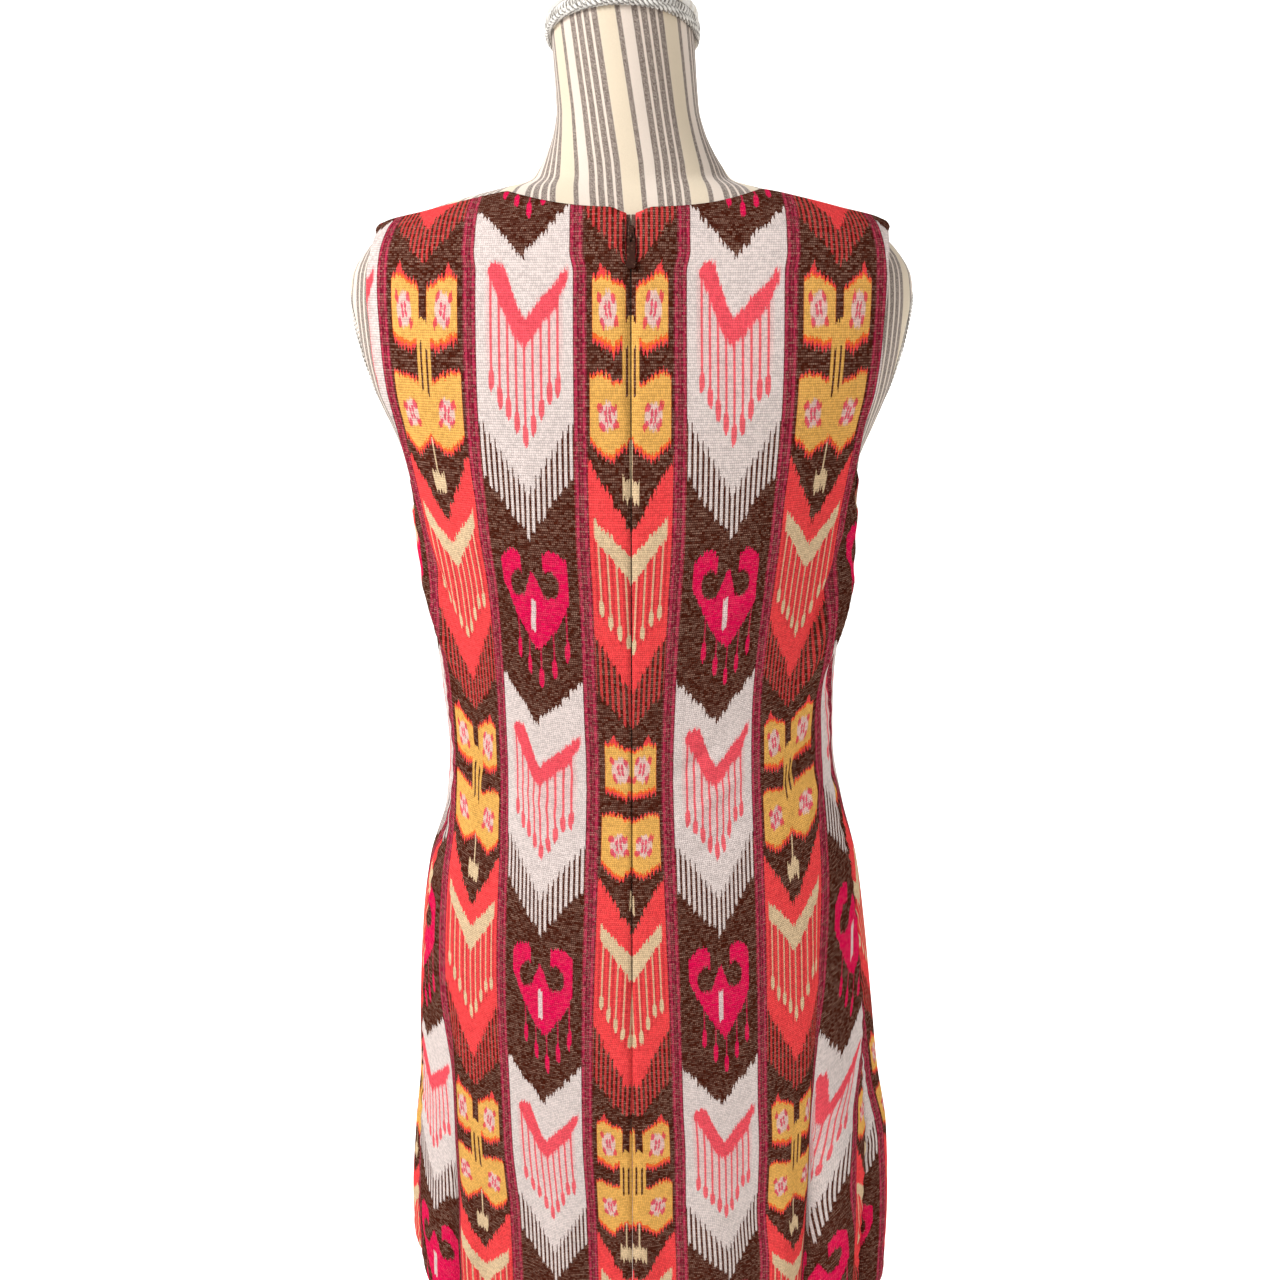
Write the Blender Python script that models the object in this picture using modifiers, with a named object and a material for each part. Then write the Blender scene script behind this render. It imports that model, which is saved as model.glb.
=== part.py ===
"""Sleeveless sheath dress worn by a limbless dress form on a pole stand.

Metres, +Z up. The origin is the centre of the base's underside. The dress faces -Y, so its
zipped back faces +Y, and the wearer's left is +X.

The form and the dress are both described by level sections, from the hem to the neck. A section
is a closed superellipse with its own reach to the left, right, back and front. Angles round it
run from 0 at the centre back, over 90 at the side, to 180 at the centre front.
"""

import math

import bmesh
import bpy
import numpy as np
from mathutils import Matrix, Vector

# ---------------------------------------------------------------- driving dimensions
HEM_HEIGHT = 0.452
# How much higher the hem rides at the side, on the wearer's left and right.
HEM_RISES = {+1: 0.036, -1: 0.0}
UNDERARM_HEIGHT = 1.140
NECK_POINT_HALF_WIDTHS = {+1: 0.100, -1: 0.107}
SHOULDER_TIP_HALF_WIDTH = 0.1745
SHOULDER_SEAM_HEIGHT = 1.369
BACK_NECK_HEIGHT = 1.352
BACK_NECK_POWER = 1.9
FRONT_NECK_HEIGHT = 1.306
FRONT_NECK_POWER = 2.3
CLOTH_THICKNESS = 0.0012
SEAM_GAP = 0.0003
FIT_GAP = 0.0003

# How far the cloth stands off the form: everywhere, over the zip, at the shoulder tips and on
# the strap of the wearer's right, which rides a little higher than the other.
STAND_OFF = 0.0012
ZIP_STAND_OFF = 0.0026
ZIP_STAND_OFF_REACH = 0.032
TIP_STAND_OFF = 0.0022
STRAP_STAND_OFF = 0.0030
# Between these heights the folds fade out towards the shoulders.
FOLD_FADE_HEIGHTS = (1.15, 1.20)
# By this height the columns of a panel stand evenly across it, not evenly round it.
EVEN_COLUMNS_HEIGHT = 1.27

TORSO_BOTTOM_HEIGHT = 0.640
NECK_TOP_HEIGHT = 1.479
NECK_TOP_SLOPE = math.radians(16.0)
NECK_RADIUS = 0.050
NECK_BASE_HEIGHT = 1.385
NECK_LEAN = 0.0065

POLE_RADIUS = 0.016
BASE_RADIUS = 0.175
BASE_THICKNESS = 0.022
BASE_ROUNDING = 0.010

# ---------------------------------------------------------------- section tables
# Columns: height, left reach, right reach, back reach, front reach, squareness.
SHOULDER_ROWS = [
    (1.205, 0.1800, 0.1810, 0.1100, 0.1100, 2.40),
    (1.235, 0.1950, 0.1950, 0.1090, 0.1000, 2.45),
    (1.264, 0.2030, 0.2030, 0.1055, 0.0910, 2.45),
    (1.290, 0.2055, 0.2055, 0.0995, 0.0835, 2.45),
    (1.310, 0.2030, 0.2030, 0.0940, 0.0780, 2.40),
    (1.325, 0.1945, 0.1945, 0.0885, 0.0740, 2.30),
    (1.338, 0.1815, 0.1815, 0.0820, 0.0700, 2.20),
    (1.348, 0.1645, 0.1645, 0.0770, 0.0665, 2.15),
    (1.357, 0.1425, 0.1425, 0.0715, 0.0630, 2.10),
    (1.364, 0.1195, 0.1195, 0.0665, 0.0600, 2.10),
    (1.3695, 0.0975, 0.0975, 0.0620, 0.0570, 2.05),
    (1.376, 0.0725, 0.0725, 0.0585, 0.0545, 2.00),
]
TORSO_ROWS = [
    (0.640, 0.1500, 0.1500, 0.0980, 0.0860, 2.20),
    (0.700, 0.1600, 0.1600, 0.1080, 0.0940, 2.25),
    (0.760, 0.1645, 0.1645, 0.1120, 0.0980, 2.30),
    (0.840, 0.1510, 0.1510, 0.1000, 0.0950, 2.25),
    (0.900, 0.1330, 0.1330, 0.0850, 0.0900, 2.20),
    (0.950, 0.1240, 0.1240, 0.0780, 0.0870, 2.20),
    (1.000, 0.1280, 0.1280, 0.0820, 0.0920, 2.20),
    (1.060, 0.1420, 0.1420, 0.0930, 0.1080, 2.20),
    (1.110, 0.1530, 0.1530, 0.1010, 0.1190, 2.25),
    (1.160, 0.1640, 0.1640, 0.1065, 0.1180, 2.30),
]
NECK_ROWS = [
    (1.384, 0.0660, 0.0660, 0.0565, 0.0530, 2.00),
    (1.395, 0.0595, 0.0595, 0.0545, 0.0515, 2.00),
    (1.408, 0.0540, 0.0540, 0.0525, 0.0505, 2.00),
    (1.424, 0.0505, 0.0505, 0.0510, 0.0500, 2.00),
    (1.445, NECK_RADIUS, NECK_RADIUS, NECK_RADIUS, NECK_RADIUS, 2.00),
    (1.510, NECK_RADIUS, NECK_RADIUS, NECK_RADIUS, NECK_RADIUS, 2.00),
]
# The dress below the shoulders. Its hip swings a little to the wearer's right.
DRESS_ROWS = [
    (0.400, 0.1930, 0.2140, 0.1190, 0.1140, 2.20),
    (0.520, 0.1930, 0.2160, 0.1200, 0.1150, 2.20),
    (0.600, 0.1870, 0.2140, 0.1205, 0.1150, 2.20),
    (0.660, 0.1800, 0.2055, 0.1210, 0.1150, 2.20),
    (0.720, 0.1775, 0.1995, 0.1205, 0.1140, 2.20),
    (0.800, 0.1715, 0.1895, 0.1155, 0.1110, 2.20),
    (0.850, 0.1640, 0.1815, 0.1085, 0.1080, 2.20),
    (0.900, 0.1490, 0.1680, 0.0985, 0.1050, 2.20),
    (0.950, 0.1445, 0.1585, 0.0920, 0.1040, 2.20),
    (1.000, 0.1480, 0.1570, 0.0930, 0.1080, 2.20),
    (1.050, 0.1535, 0.1610, 0.0990, 0.1170, 2.20),
    (1.100, 0.1600, 0.1665, 0.1055, 0.1240, 2.25),
    (1.140, 0.1650, 0.1695, 0.1095, 0.1240, 2.30),
]
# Columns: height, how far round the left and the right back's edges lie from the centre back,
# and the front's edges from the centre front, in degrees. They start at the side seam and meet
# at the shoulder. The right back is pulled a little further off the arm.
ARMHOLE_ROWS = [
    (1.152, 69.0, 69.0, 96.0),
    (1.168, 67.0, 66.0, 84.0),
    (1.200, 66.0, 63.0, 75.0),
    (1.240, 61.5, 57.5, 69.0),
    (1.280, 58.5, 54.0, 66.0),
    (1.310, 60.0, 56.0, 67.5),
    (1.325, 64.6, 62.0, 71.0),
    (1.335, 71.6, 70.5, 77.0),
    (1.3425, 90.0, 90.0, 90.0),
    (1.3600, 90.0, 90.0, 90.0),
]
# Columns: height, angle of the left and the right side seam. Both drift towards the back.
SIDE_SEAM_ROWS = [
    (0.400, 74.0, 66.0),
    (0.640, 74.0, 67.0),
    (0.800, 73.0, 70.0),
    (0.950, 72.0, 73.0),
    (1.050, 73.0, 74.0),
    (1.100, 73.0, 75.0),
    (1.140, 72.0, 75.0),
]
# Folds: angle and height where each starts, angle and height where it ends, half width in
# degrees, and how far it stands out (or in, below 0). Angles are above 0 on the wearer's left
# and below 0 on the right. A fold with grows=True is deepest at its lower end, the others at
# their middle.
FOLD_COLUMNS = ("angle_1", "height_1", "angle_2", "height_2", "half_width", "depth", "grows")
FOLD_ROWS = [
    # back, wearer's right: flutes of the skirt on both sides of the side seam
    (-40.0, 0.760, -37.0, 0.400, 5.0, -0.0070, True),
    (-53.0, 0.800, -51.0, 0.400, 7.0, 0.0090, True),
    (-69.0, 0.780, -62.0, 0.400, 5.5, -0.0090, True),
    (-83.0, 0.760, -78.0, 0.400, 7.0, 0.0080, True),
    # back, wearer's left: shallower flutes
    (38.0, 0.700, 36.0, 0.400, 6.0, -0.0035, True),
    (56.0, 0.740, 54.0, 0.400, 8.0, 0.0045, True),
    (75.0, 0.720, 72.0, 0.400, 6.0, -0.0045, True),
    # drag folds from both back armholes towards the waist
    (-76.0, 1.155, -50.0, 0.970, 6.5, 0.0065, False),
    (-88.0, 1.120, -66.0, 0.960, 6.0, -0.0060, False),
    (78.0, 1.150, 56.0, 1.000, 6.5, 0.0035, False),
    (90.0, 1.110, 70.0, 0.980, 6.0, -0.0035, False),
    # front: the same kinds, a little deeper on the wearer's left
    (108.0, 0.760, 112.0, 0.400, 7.0, -0.0065, True),
    (124.0, 0.740, 127.0, 0.400, 7.5, 0.0070, True),
    (143.0, 0.700, 145.0, 0.400, 7.0, -0.0055, True),
    (-106.0, 0.740, -110.0, 0.400, 7.0, -0.0050, True),
    (-122.0, 0.760, -128.0, 0.400, 7.5, 0.0065, True),
    (-144.0, 0.680, -147.0, 0.400, 7.0, -0.0050, True),
    (104.0, 1.120, 122.0, 0.980, 7.0, -0.0050, False),
    (-104.0, 1.120, -121.0, 0.990, 7.0, -0.0045, False),
]

# ---------------------------------------------------------------- mesh densities
NECK_COLUMNS = 6
SHOULDER_COLUMNS = 10
YOKE_LINES = 13
SKIRT_LINES = 23
TORSO_SIDES = 40
COLUMN_SAMPLES = 160
# A column's top is searched for between these heights, and reaches the tip only above the third.
COLUMN_TOP_LIMITS = (1.25, 1.376)
COLUMN_TOP_HALVINGS = 40
TIP_LIMIT_HEIGHT = 1.335
NORMAL_STEP = 0.0006
HALF_PANEL_WIDTH = 0.17

# ---------------------------------------------------------------- zip
ZIP_END_HEIGHT = 0.800
NOTCH_HALF_WIDTH = 0.0027
NOTCH_DEPTH = 0.026
NOTCH_CLOSE = 0.013
TAPE_WIDTH = 0.012
TAPE_THICKNESS = 0.0010
TAPE_EDGE = 0.0003
SLIDER_WIDTH = 0.0042
SLIDER_LENGTH = 0.0120
SLIDER_THICKNESS = 0.0022
SLIDER_DROP = 0.0120
SLIDER_PROUD = 0.0022
BRIDGE_WIRE_RADIUS = 0.00045
BRIDGE_HALF_SPAN = 0.0026
BRIDGE_RISE = 0.0031
BRIDGE_ROOT = 0.0006
BRIDGE_STEPS = 12
SLIDER_ROUNDING = 0.0005
PIVOT_RISE = 0.0011
PIVOT_FROM_END = 0.0036
PULL_BAR_RADIUS = 0.00045
PULL_LENGTH = 0.0230
PULL_TOP_WIDTH = 0.0046
PULL_END_WIDTH = 0.0060
PULL_THICKNESS = 0.0009
PULL_CORNER = 0.0012
PULL_SLOT_LENGTH = 0.0042
PULL_SLOT_HALF_WIDTH = 0.0009
PULL_REST_GAP = 0.0005

# ---------------------------------------------------------------- trims of the form
BRAID_HEIGHT = 0.0105
BRAID_THICKNESS = 0.0030
CAP_OVERHANG = 0.0035
CAP_EDGE_HEIGHT = 0.006
CAP_DOME_HEIGHT = 0.011
CAP_ROUNDING = 0.0015
CAP_STEPS = 6
ARM_PLATE_CENTRE = Vector((0.1905, 0.0, 1.2570))
ARM_PLATE_TILT = math.radians(14.0)
ARM_PLATE_HALF_HEIGHT = 0.0400
ARM_PLATE_HALF_DEPTH = 0.0315
ARM_PLATE_THICKNESS = 0.0030
ARM_PLATE_EDGE = 0.0012
ARM_SIDES = 36
ARM_BRAID_WIDTH = 0.0065
ARM_BRAID_THICKNESS = 0.0040
SOCKET_RADIUS = 0.045
SOCKET_THICKNESS = 0.012
FOOT_COLLAR_RADIUS = 0.036
FOOT_COLLAR_HEIGHT = 0.030

# Colours from the photograph: (red, green, blue), roughness, metallic.
MATERIALS = {
    "ikat_cloth": ((0.30, 0.09, 0.08), 0.85, 0.0),
    "zip_tape": ((0.11, 0.06, 0.04), 0.80, 0.0),
    "zip_metal": ((0.13, 0.10, 0.09), 0.45, 0.8),
    "ticking": ((0.80, 0.75, 0.67), 0.85, 0.0),
    "braid": ((0.83, 0.81, 0.77), 0.75, 0.0),
    "whitewashed_wood": ((0.82, 0.80, 0.76), 0.60, 0.0),
}


# ================================================================ sections
def smooth_table(rows):
    """A function of height that runs smoothly, without overshoot, through the rows' columns."""
    data = np.array(rows, float)
    heights, values = data[:, 0], data[:, 1:]
    steps = np.diff(heights)[:, None]
    slopes = np.diff(values, axis=0) / steps
    tangents = np.zeros_like(values)
    turning = slopes[:-1] * slopes[1:] <= 0
    weights_1 = 2 * steps[1:] + steps[:-1]
    weights_2 = steps[1:] + 2 * steps[:-1]
    safe_1 = np.where(turning, 1.0, slopes[:-1])
    safe_2 = np.where(turning, 1.0, slopes[1:])
    mean = (weights_1 + weights_2) / (weights_1 / safe_1 + weights_2 / safe_2)
    tangents[1:-1] = np.where(turning, 0.0, mean)
    tangents[0], tangents[-1] = slopes[0], slopes[-1]

    def at(height):
        height = min(max(height, heights[0]), heights[-1])
        row = min(max(int(np.searchsorted(heights, height)) - 1, 0), len(heights) - 2)
        step = heights[row + 1] - heights[row]
        t = (height - heights[row]) / step
        return (
            (2 * t**3 - 3 * t**2 + 1) * values[row]
            + (t**3 - 2 * t**2 + t) * step * tangents[row]
            + (-2 * t**3 + 3 * t**2) * values[row + 1]
            + (t**3 - t**2) * step * tangents[row + 1]
        )

    return at


torso_section = smooth_table(TORSO_ROWS + SHOULDER_ROWS + NECK_ROWS)
dress_section = smooth_table(DRESS_ROWS + SHOULDER_ROWS + NECK_ROWS)
side_seam_angle = smooth_table(SIDE_SEAM_ROWS)
armhole_angle = {}
for seam_column, panel_side in enumerate((+1, -1)):
    seam_top = float(side_seam_angle(UNDERARM_HEIGHT)[seam_column])
    edge_rows = [(row[0], row[1 + seam_column], row[3]) for row in ARMHOLE_ROWS]
    armhole_angle[panel_side] = smooth_table([(UNDERARM_HEIGHT, seam_top, 180 - seam_top)] + edge_rows)


def section_point(section, side, angle):
    """The point at an angle (in radians, 0 to pi) on a section, on the left (+1) or right (-1)."""
    left, right, back, front, squareness = section
    half = left if side > 0 else right
    depth = back if angle <= math.pi / 2 else front
    power = 2 / squareness
    x = side * half * abs(math.sin(angle)) ** power
    y = math.copysign(depth * abs(math.cos(angle)) ** power, math.cos(angle))
    return x, y


def outward(section_at, point):
    """The unit normal of a sectioned body at a point on it."""
    step = NORMAL_STEP

    def level(x, y, z):
        left, right, back, front, squareness = section_at(z)
        half = left if x >= 0 else right
        depth = back if y >= 0 else front
        return abs(x / half) ** squareness + abs(y / depth) ** squareness

    x, y, z = point
    slope = Vector(
        (
            level(x + step, y, z) - level(x - step, y, z),
            level(x, y + step, z) - level(x, y - step, z),
            level(x, y, z + step) - level(x, y, z - step),
        )
    )
    return slope.normalized()


def ease_in(value, start, end):
    """0 before start, 1 after end, and a smooth rise between them."""
    t = min(max((value - start) / (end - start), 0.0), 1.0)
    return t * t * (3 - 2 * t)


# ================================================================ the dress as a surface
def fold_height(signed_degrees, height):
    """How far the folds lift the cloth at an angle round the dress and a height."""
    total = 0.0
    for row in FOLD_ROWS:
        fold = dict(zip(FOLD_COLUMNS, row))
        along = (fold["height_1"] - height) / (fold["height_1"] - fold["height_2"])
        if not 0 < along < 1.0001:
            continue
        centre = fold["angle_1"] + along * (fold["angle_2"] - fold["angle_1"])
        across = (signed_degrees - centre) / fold["half_width"]
        strength = ease_in(along, 0.0, 0.8) if fold["grows"] else math.sin(math.pi * along) ** 2
        total += fold["depth"] * strength * math.exp(-across * across)
    return total


def stand_off(x, height):
    """The gap between the form and the cloth: least on the shoulders, more over the zip and at the tips."""
    over_zip = ZIP_STAND_OFF * math.exp(-((x / ZIP_STAND_OFF_REACH) ** 2))
    at_tip = TIP_STAND_OFF * ease_in(abs(x), 0.140, SHOULDER_TIP_HALF_WIDTH) * ease_in(height, 1.27, 1.33)
    right_strap = STRAP_STAND_OFF * ease_in(-x, 0.050, 0.100) * ease_in(height, 1.29, 1.35)
    return STAND_OFF + over_zip + at_tip + right_strap


def neckline_height(x, is_back):
    """The height of the neckline where it is x from the centre line."""
    lowest, power = (BACK_NECK_HEIGHT, BACK_NECK_POWER) if is_back else (FRONT_NECK_HEIGHT, FRONT_NECK_POWER)
    share = min(abs(x) / NECK_POINT_HALF_WIDTHS[+1 if x > 0 else -1], 1.0)
    return lowest + (SHOULDER_SEAM_HEIGHT - lowest) * share**power


def column_angle(share, side, is_back, height):
    """The angle at which a column of a half panel lies. share is 0 at the centre, 1 at the panel's edge."""
    if height <= UNDERARM_HEIGHT:
        seam = math.radians(side_seam_angle(height)[0 if side > 0 else 1])
        angle = share * (seam if is_back else math.pi - seam)
    else:
        edge = math.radians(armhole_angle[side](height)[0 if is_back else 1])
        evenly_round = share * edge
        evenly_across = math.asin(math.sin(share * math.pi / 2) * math.sin(min(edge, math.pi / 2)))
        angle = evenly_round + (evenly_across - evenly_round) * ease_in(height, UNDERARM_HEIGHT, EVEN_COLUMNS_HEIGHT)
    return angle if is_back else math.pi - angle


def column_base(share, side, is_back, height):
    """The point of a column on the body that the cloth follows, and its angle in degrees."""
    angle = column_angle(share, side, is_back, height)
    x, y = section_point(dress_section(height), side, angle)
    return Vector((x, y, height)), math.degrees(angle)


def column_top(share, side, is_back):
    """The height where a column ends: on the neckline, or on the ridge of the shoulder."""
    low, high = COLUMN_TOP_LIMITS
    for _ in range(COLUMN_TOP_HALVINGS):
        middle = (low + high) / 2
        x = abs(column_base(share, side, is_back, middle)[0].x)
        half = dress_section(middle)[0]
        fraction = math.sin(share * math.pi / 2) ** (2 / dress_section(middle)[4])
        past_ridge = fraction * SHOULDER_TIP_HALF_WIDTH >= half * 0.9999 and middle > TIP_LIMIT_HEIGHT
        inside_neck = x < NECK_POINT_HALF_WIDTHS[side]
        past_neckline = inside_neck and middle > neckline_height(side * x, is_back)
        if past_ridge or past_neckline:
            high = middle
        else:
            low = middle
    return low


def cloth_point(share, side, is_back, height, lift=0.0):
    """A point on the outside of the dress, or lift metres outside it."""
    base, degrees = column_base(share, side, is_back, height)
    normal = outward(dress_section, base)
    fade = 1 - ease_in(height, *FOLD_FADE_HEIGHTS)
    rise = stand_off(base.x, height) + CLOTH_THICKNESS + lift
    rise += fold_height(side * degrees, height) * fade
    point = base + normal * rise
    half_gap = SEAM_GAP / 2
    if height > UNDERARM_HEIGHT:
        # The two panels stay apart along the shoulder seam.
        point.y = max(point.y, half_gap) if is_back else min(point.y, -half_gap)
    if is_back and share < 1:
        point.x = side * (abs(point.x) + centre_gap(point.z) * (1 - share))
    return point


def centre_gap(height):
    """Half the gap between the two backs: a notch round the zip's slider that closes below it."""
    below = BACK_NECK_HEIGHT - height
    open_share = 1 - ease_in(below, NOTCH_DEPTH, NOTCH_DEPTH + NOTCH_CLOSE)
    return SEAM_GAP / 2 + NOTCH_HALF_WIDTH * open_share


def column_shares(side):
    """Where the columns of a half panel stand. One of them meets the neck point."""
    squareness = dress_section(1.35)[4]
    reach = NECK_POINT_HALF_WIDTHS[side] / SHOULDER_TIP_HALF_WIDTH
    neck = math.asin(reach ** (squareness / 2)) * 2 / math.pi
    inner = np.linspace(0, neck, NECK_COLUMNS + 1)
    outer = np.linspace(neck, 1, SHOULDER_COLUMNS + 1)[1:]
    return np.concatenate([inner, outer])


def column_heights(share, side, is_back):
    """Heights down a column: evenly spaced along the cloth to the underarm, then evenly to the hem."""
    top = column_top(share, side, is_back)
    fall = top - UNDERARM_HEIGHT
    fine = [top - fall * (k / COLUMN_SAMPLES) ** 2 for k in range(COLUMN_SAMPLES + 1)]
    points = [column_base(share, side, is_back, z)[0] for z in fine]
    lengths = np.cumsum([0.0] + [(b - a).length for a, b in zip(points, points[1:])])
    yoke = np.interp(np.linspace(0, lengths[-1], YOKE_LINES + 1), lengths, fine)
    hem = HEM_HEIGHT + HEM_RISES[side] * math.sin(column_angle(share, side, is_back, HEM_HEIGHT)) ** 2
    skirt = np.linspace(UNDERARM_HEIGHT, hem, SKIRT_LINES + 1)[1:]
    return np.concatenate([yoke, skirt])


def edge_share(share):
    """The last column stops half a seam gap short of the side seam."""
    return share if share < 1 else 1 - (SEAM_GAP / 2) / HALF_PANEL_WIDTH


# ================================================================ building helpers
def clear_scene():
    for obj in list(bpy.data.objects):
        bpy.data.objects.remove(obj)


def make_material(name):
    colour, roughness, metallic = MATERIALS[name]
    material = bpy.data.materials.new(name)
    material.use_nodes = True
    shader = material.node_tree.nodes["Principled BSDF"]
    shader.inputs["Base Color"].default_value = (*colour, 1.0)
    shader.inputs["Roughness"].default_value = roughness
    shader.inputs["Metallic"].default_value = metallic
    material.diffuse_color = (*colour, 1.0)
    return material


def add_object(name, mesh, material):
    """Links a mesh to the part's collection as one named, smoothly shaded object."""
    obj = bpy.data.objects.new(name, mesh)
    mesh.materials.clear()
    mesh.materials.append(made_materials[material])
    mesh.shade_smooth()
    mesh.set_sharp_from_angle(angle=math.radians(35))
    part_collection.objects.link(obj)
    return obj


def mesh_from(builder, name):
    mesh = bpy.data.meshes.new(name)
    builder.normal_update()
    builder.to_mesh(mesh)
    builder.free()
    return mesh


def grid_mesh(name, lines, flip):
    """An open sheet from lines of points, each as long as the others."""
    builder = bmesh.new()
    rows = [[builder.verts.new(p) for p in line] for line in lines]
    for upper, lower in zip(rows, rows[1:]):
        for a, b, c, d in zip(upper, upper[1:], lower[1:], lower):
            builder.faces.new((a, b, c, d) if flip else (a, d, c, b))
    return mesh_from(builder, name)


def thicken(obj, thickness):
    """Gives an open sheet its thickness, on the side away from its normals."""
    shell = obj.modifiers.new("cloth thickness", "SOLIDIFY")
    shell.thickness = thickness
    shell.offset = -1
    shell.use_even_offset = False
    shell.use_quality_normals = True


def turned(name, profile, material, place=Matrix.Identity(4), steps=40):
    """A turned solid from a closed profile of (radius, height) pairs that starts and ends on the axis."""
    builder = bmesh.new()
    points = [builder.verts.new((radius, 0, height)) for radius, height in profile]
    for a, b in zip(points, points[1:]):
        builder.edges.new((a, b))
    obj = add_object(name, mesh_from(builder, name), material)
    screw = obj.modifiers.new("turning", "SCREW")
    screw.steps = screw.render_steps = steps
    screw.use_merge_vertices = True
    screw.merge_threshold = 0.00005
    obj.matrix_world = place
    return obj


# ================================================================ the dress
def half_panel_lines(side, is_back, shares):
    """Lines of points across a half panel, from its top edge to the hem."""
    columns = []
    for share in shares:
        used = edge_share(share)
        columns.append([cloth_point(used, side, is_back, z) for z in column_heights(used, side, is_back)])
    return [list(line) for line in zip(*columns)]


def build_back(name, side):
    lines = half_panel_lines(side, True, column_shares(side))
    obj = add_object(name, grid_mesh(name, lines, flip=side < 0), "ikat_cloth")
    thicken(obj, CLOTH_THICKNESS)


def build_front():
    """The front is cut on the fold, so its two halves share the centre column."""
    left = half_panel_lines(+1, False, column_shares(+1))
    right = half_panel_lines(-1, False, column_shares(-1)[1:])
    lines = [list(reversed(r)) + l for l, r in zip(left, right)]
    obj = add_object("dress_front", grid_mesh("dress_front", lines, flip=False), "ikat_cloth")
    thicken(obj, CLOTH_THICKNESS)


def zip_share(x, side, height):
    """The column whose cloth lies x metres from the centre line."""
    half = dress_section(height)[0 if side > 0 else 1]
    squareness = dress_section(height)[4]
    angle = math.asin((x / half) ** (squareness / 2))
    edge = column_angle(1.0, side, True, height)
    return math.asin(math.sin(angle) / math.sin(edge)) * 2 / math.pi


def build_zip_tape(name, side):
    """One half of the zip's tape, made from the two columns of its back that it is sewn behind.

    The halves stay side by side where the backs part round the slider, so they close the notch.
    """
    lines = []
    for edge, inner in half_panel_lines(side, True, column_shares(side)[:2]):
        if edge.z < ZIP_END_HEIGHT:
            break
        inset = outward(dress_section, edge) * -(CLOTH_THICKNESS + FIT_GAP)
        across = (inner - edge).normalized()
        nearest = TAPE_EDGE - abs(edge.x)
        lines.append([edge + inset + across * step for step in (nearest, nearest + TAPE_WIDTH)])
    obj = add_object(name, grid_mesh(name, lines, flip=side < 0), "zip_tape")
    thicken(obj, TAPE_THICKNESS)


def zip_frame():
    """The slider's top on the zip's line, and the directions down along the cloth and out of it."""
    near = cloth_point(0.0, +1, True, BACK_NECK_HEIGHT - SLIDER_DROP)
    far = cloth_point(0.0, +1, True, BACK_NECK_HEIGHT - SLIDER_DROP - SLIDER_LENGTH)
    down = Vector((0, far.y - near.y, far.z - near.z)).normalized()
    out = Vector((0, -down.z, down.y))
    near.x = 0.0
    return near, down, out


def zip_place(start, down, out, along, rise):
    """The place and turn of something on the zip: local X across, local Y down the zip, local Z out."""
    turn = Matrix(((1, 0, 0), (0, down.y, out.y), (0, down.z, out.z)))
    spot = start + down * along + out * rise
    return Matrix.Translation(spot) @ turn.to_4x4()


def rounded_box(name, size, bevel, material, place, segments=2):
    """A box of the given size, centred, with rounded edges."""
    builder = bmesh.new()
    bmesh.ops.create_cube(builder, size=1.0)
    bmesh.ops.scale(builder, vec=size, verts=builder.verts)
    bmesh.ops.bevel(builder, geom=builder.edges[:], offset=bevel, segments=segments, affect="EDGES", profile=0.5)
    obj = add_object(name, mesh_from(builder, name), material)
    obj.matrix_world = place
    return obj


def tube_mesh(name, points, radius, resolution):
    """A closed tube along points, as a mesh with welded caps."""
    curve = bpy.data.curves.new(name, "CURVE")
    curve.dimensions = "3D"
    curve.bevel_depth = radius
    curve.bevel_resolution = resolution
    curve.use_fill_caps = True
    spline = curve.splines.new("POLY")
    spline.points.add(len(points) - 1)
    for spot, point in zip(spline.points, points):
        spot.co = (*point, 1.0)
    guide = bpy.data.objects.new(name + "_guide", curve)
    part_collection.objects.link(guide)
    bpy.context.view_layer.update()
    graph = bpy.context.evaluated_depsgraph_get()
    mesh = bpy.data.meshes.new_from_object(guide.evaluated_get(graph))
    bpy.data.objects.remove(guide)
    builder = bmesh.new()
    builder.from_mesh(mesh)
    bmesh.ops.remove_doubles(builder, verts=builder.verts, dist=0.000005)
    builder.to_mesh(mesh)
    builder.free()
    return mesh


def helper_object(name, mesh):
    """A hidden object that a Boolean uses."""
    obj = bpy.data.objects.new(name, mesh)
    cutter_collection.objects.link(obj)
    obj.hide_render = True
    obj.display_type = "WIRE"
    return obj


def join_or_cut(obj, tool, operation):
    boolean = obj.modifiers.new(operation.lower(), "BOOLEAN")
    boolean.operation = operation
    boolean.object = tool
    boolean.solver = "EXACT"


def build_slider():
    """The slider's body with the wire bridge that carries the pull tab."""
    start, down, out = zip_frame()
    middle = SLIDER_LENGTH / 2
    place = zip_place(start, down, out, middle, SLIDER_PROUD - SLIDER_THICKNESS / 2)
    slider = rounded_box(
        "zip_slider", (SLIDER_WIDTH, SLIDER_LENGTH, SLIDER_THICKNESS), SLIDER_ROUNDING, "zip_metal", place
    )
    foot = SLIDER_THICKNESS / 2 - BRIDGE_ROOT
    pivot = pivot_along() - middle
    bridge = []
    for step in range(BRIDGE_STEPS + 1):
        turn = math.pi * step / BRIDGE_STEPS
        bridge.append(
            (
                0.0,
                pivot - BRIDGE_HALF_SPAN * math.cos(turn),
                foot + (BRIDGE_RISE + BRIDGE_ROOT - BRIDGE_WIRE_RADIUS) * math.sin(turn) ** 0.6,
            )
        )
    bridge_object = helper_object("zip_bridge", tube_mesh("zip_bridge", bridge, BRIDGE_WIRE_RADIUS, 2))
    bridge_object.matrix_world = place
    join_or_cut(slider, bridge_object, "UNION")


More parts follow.
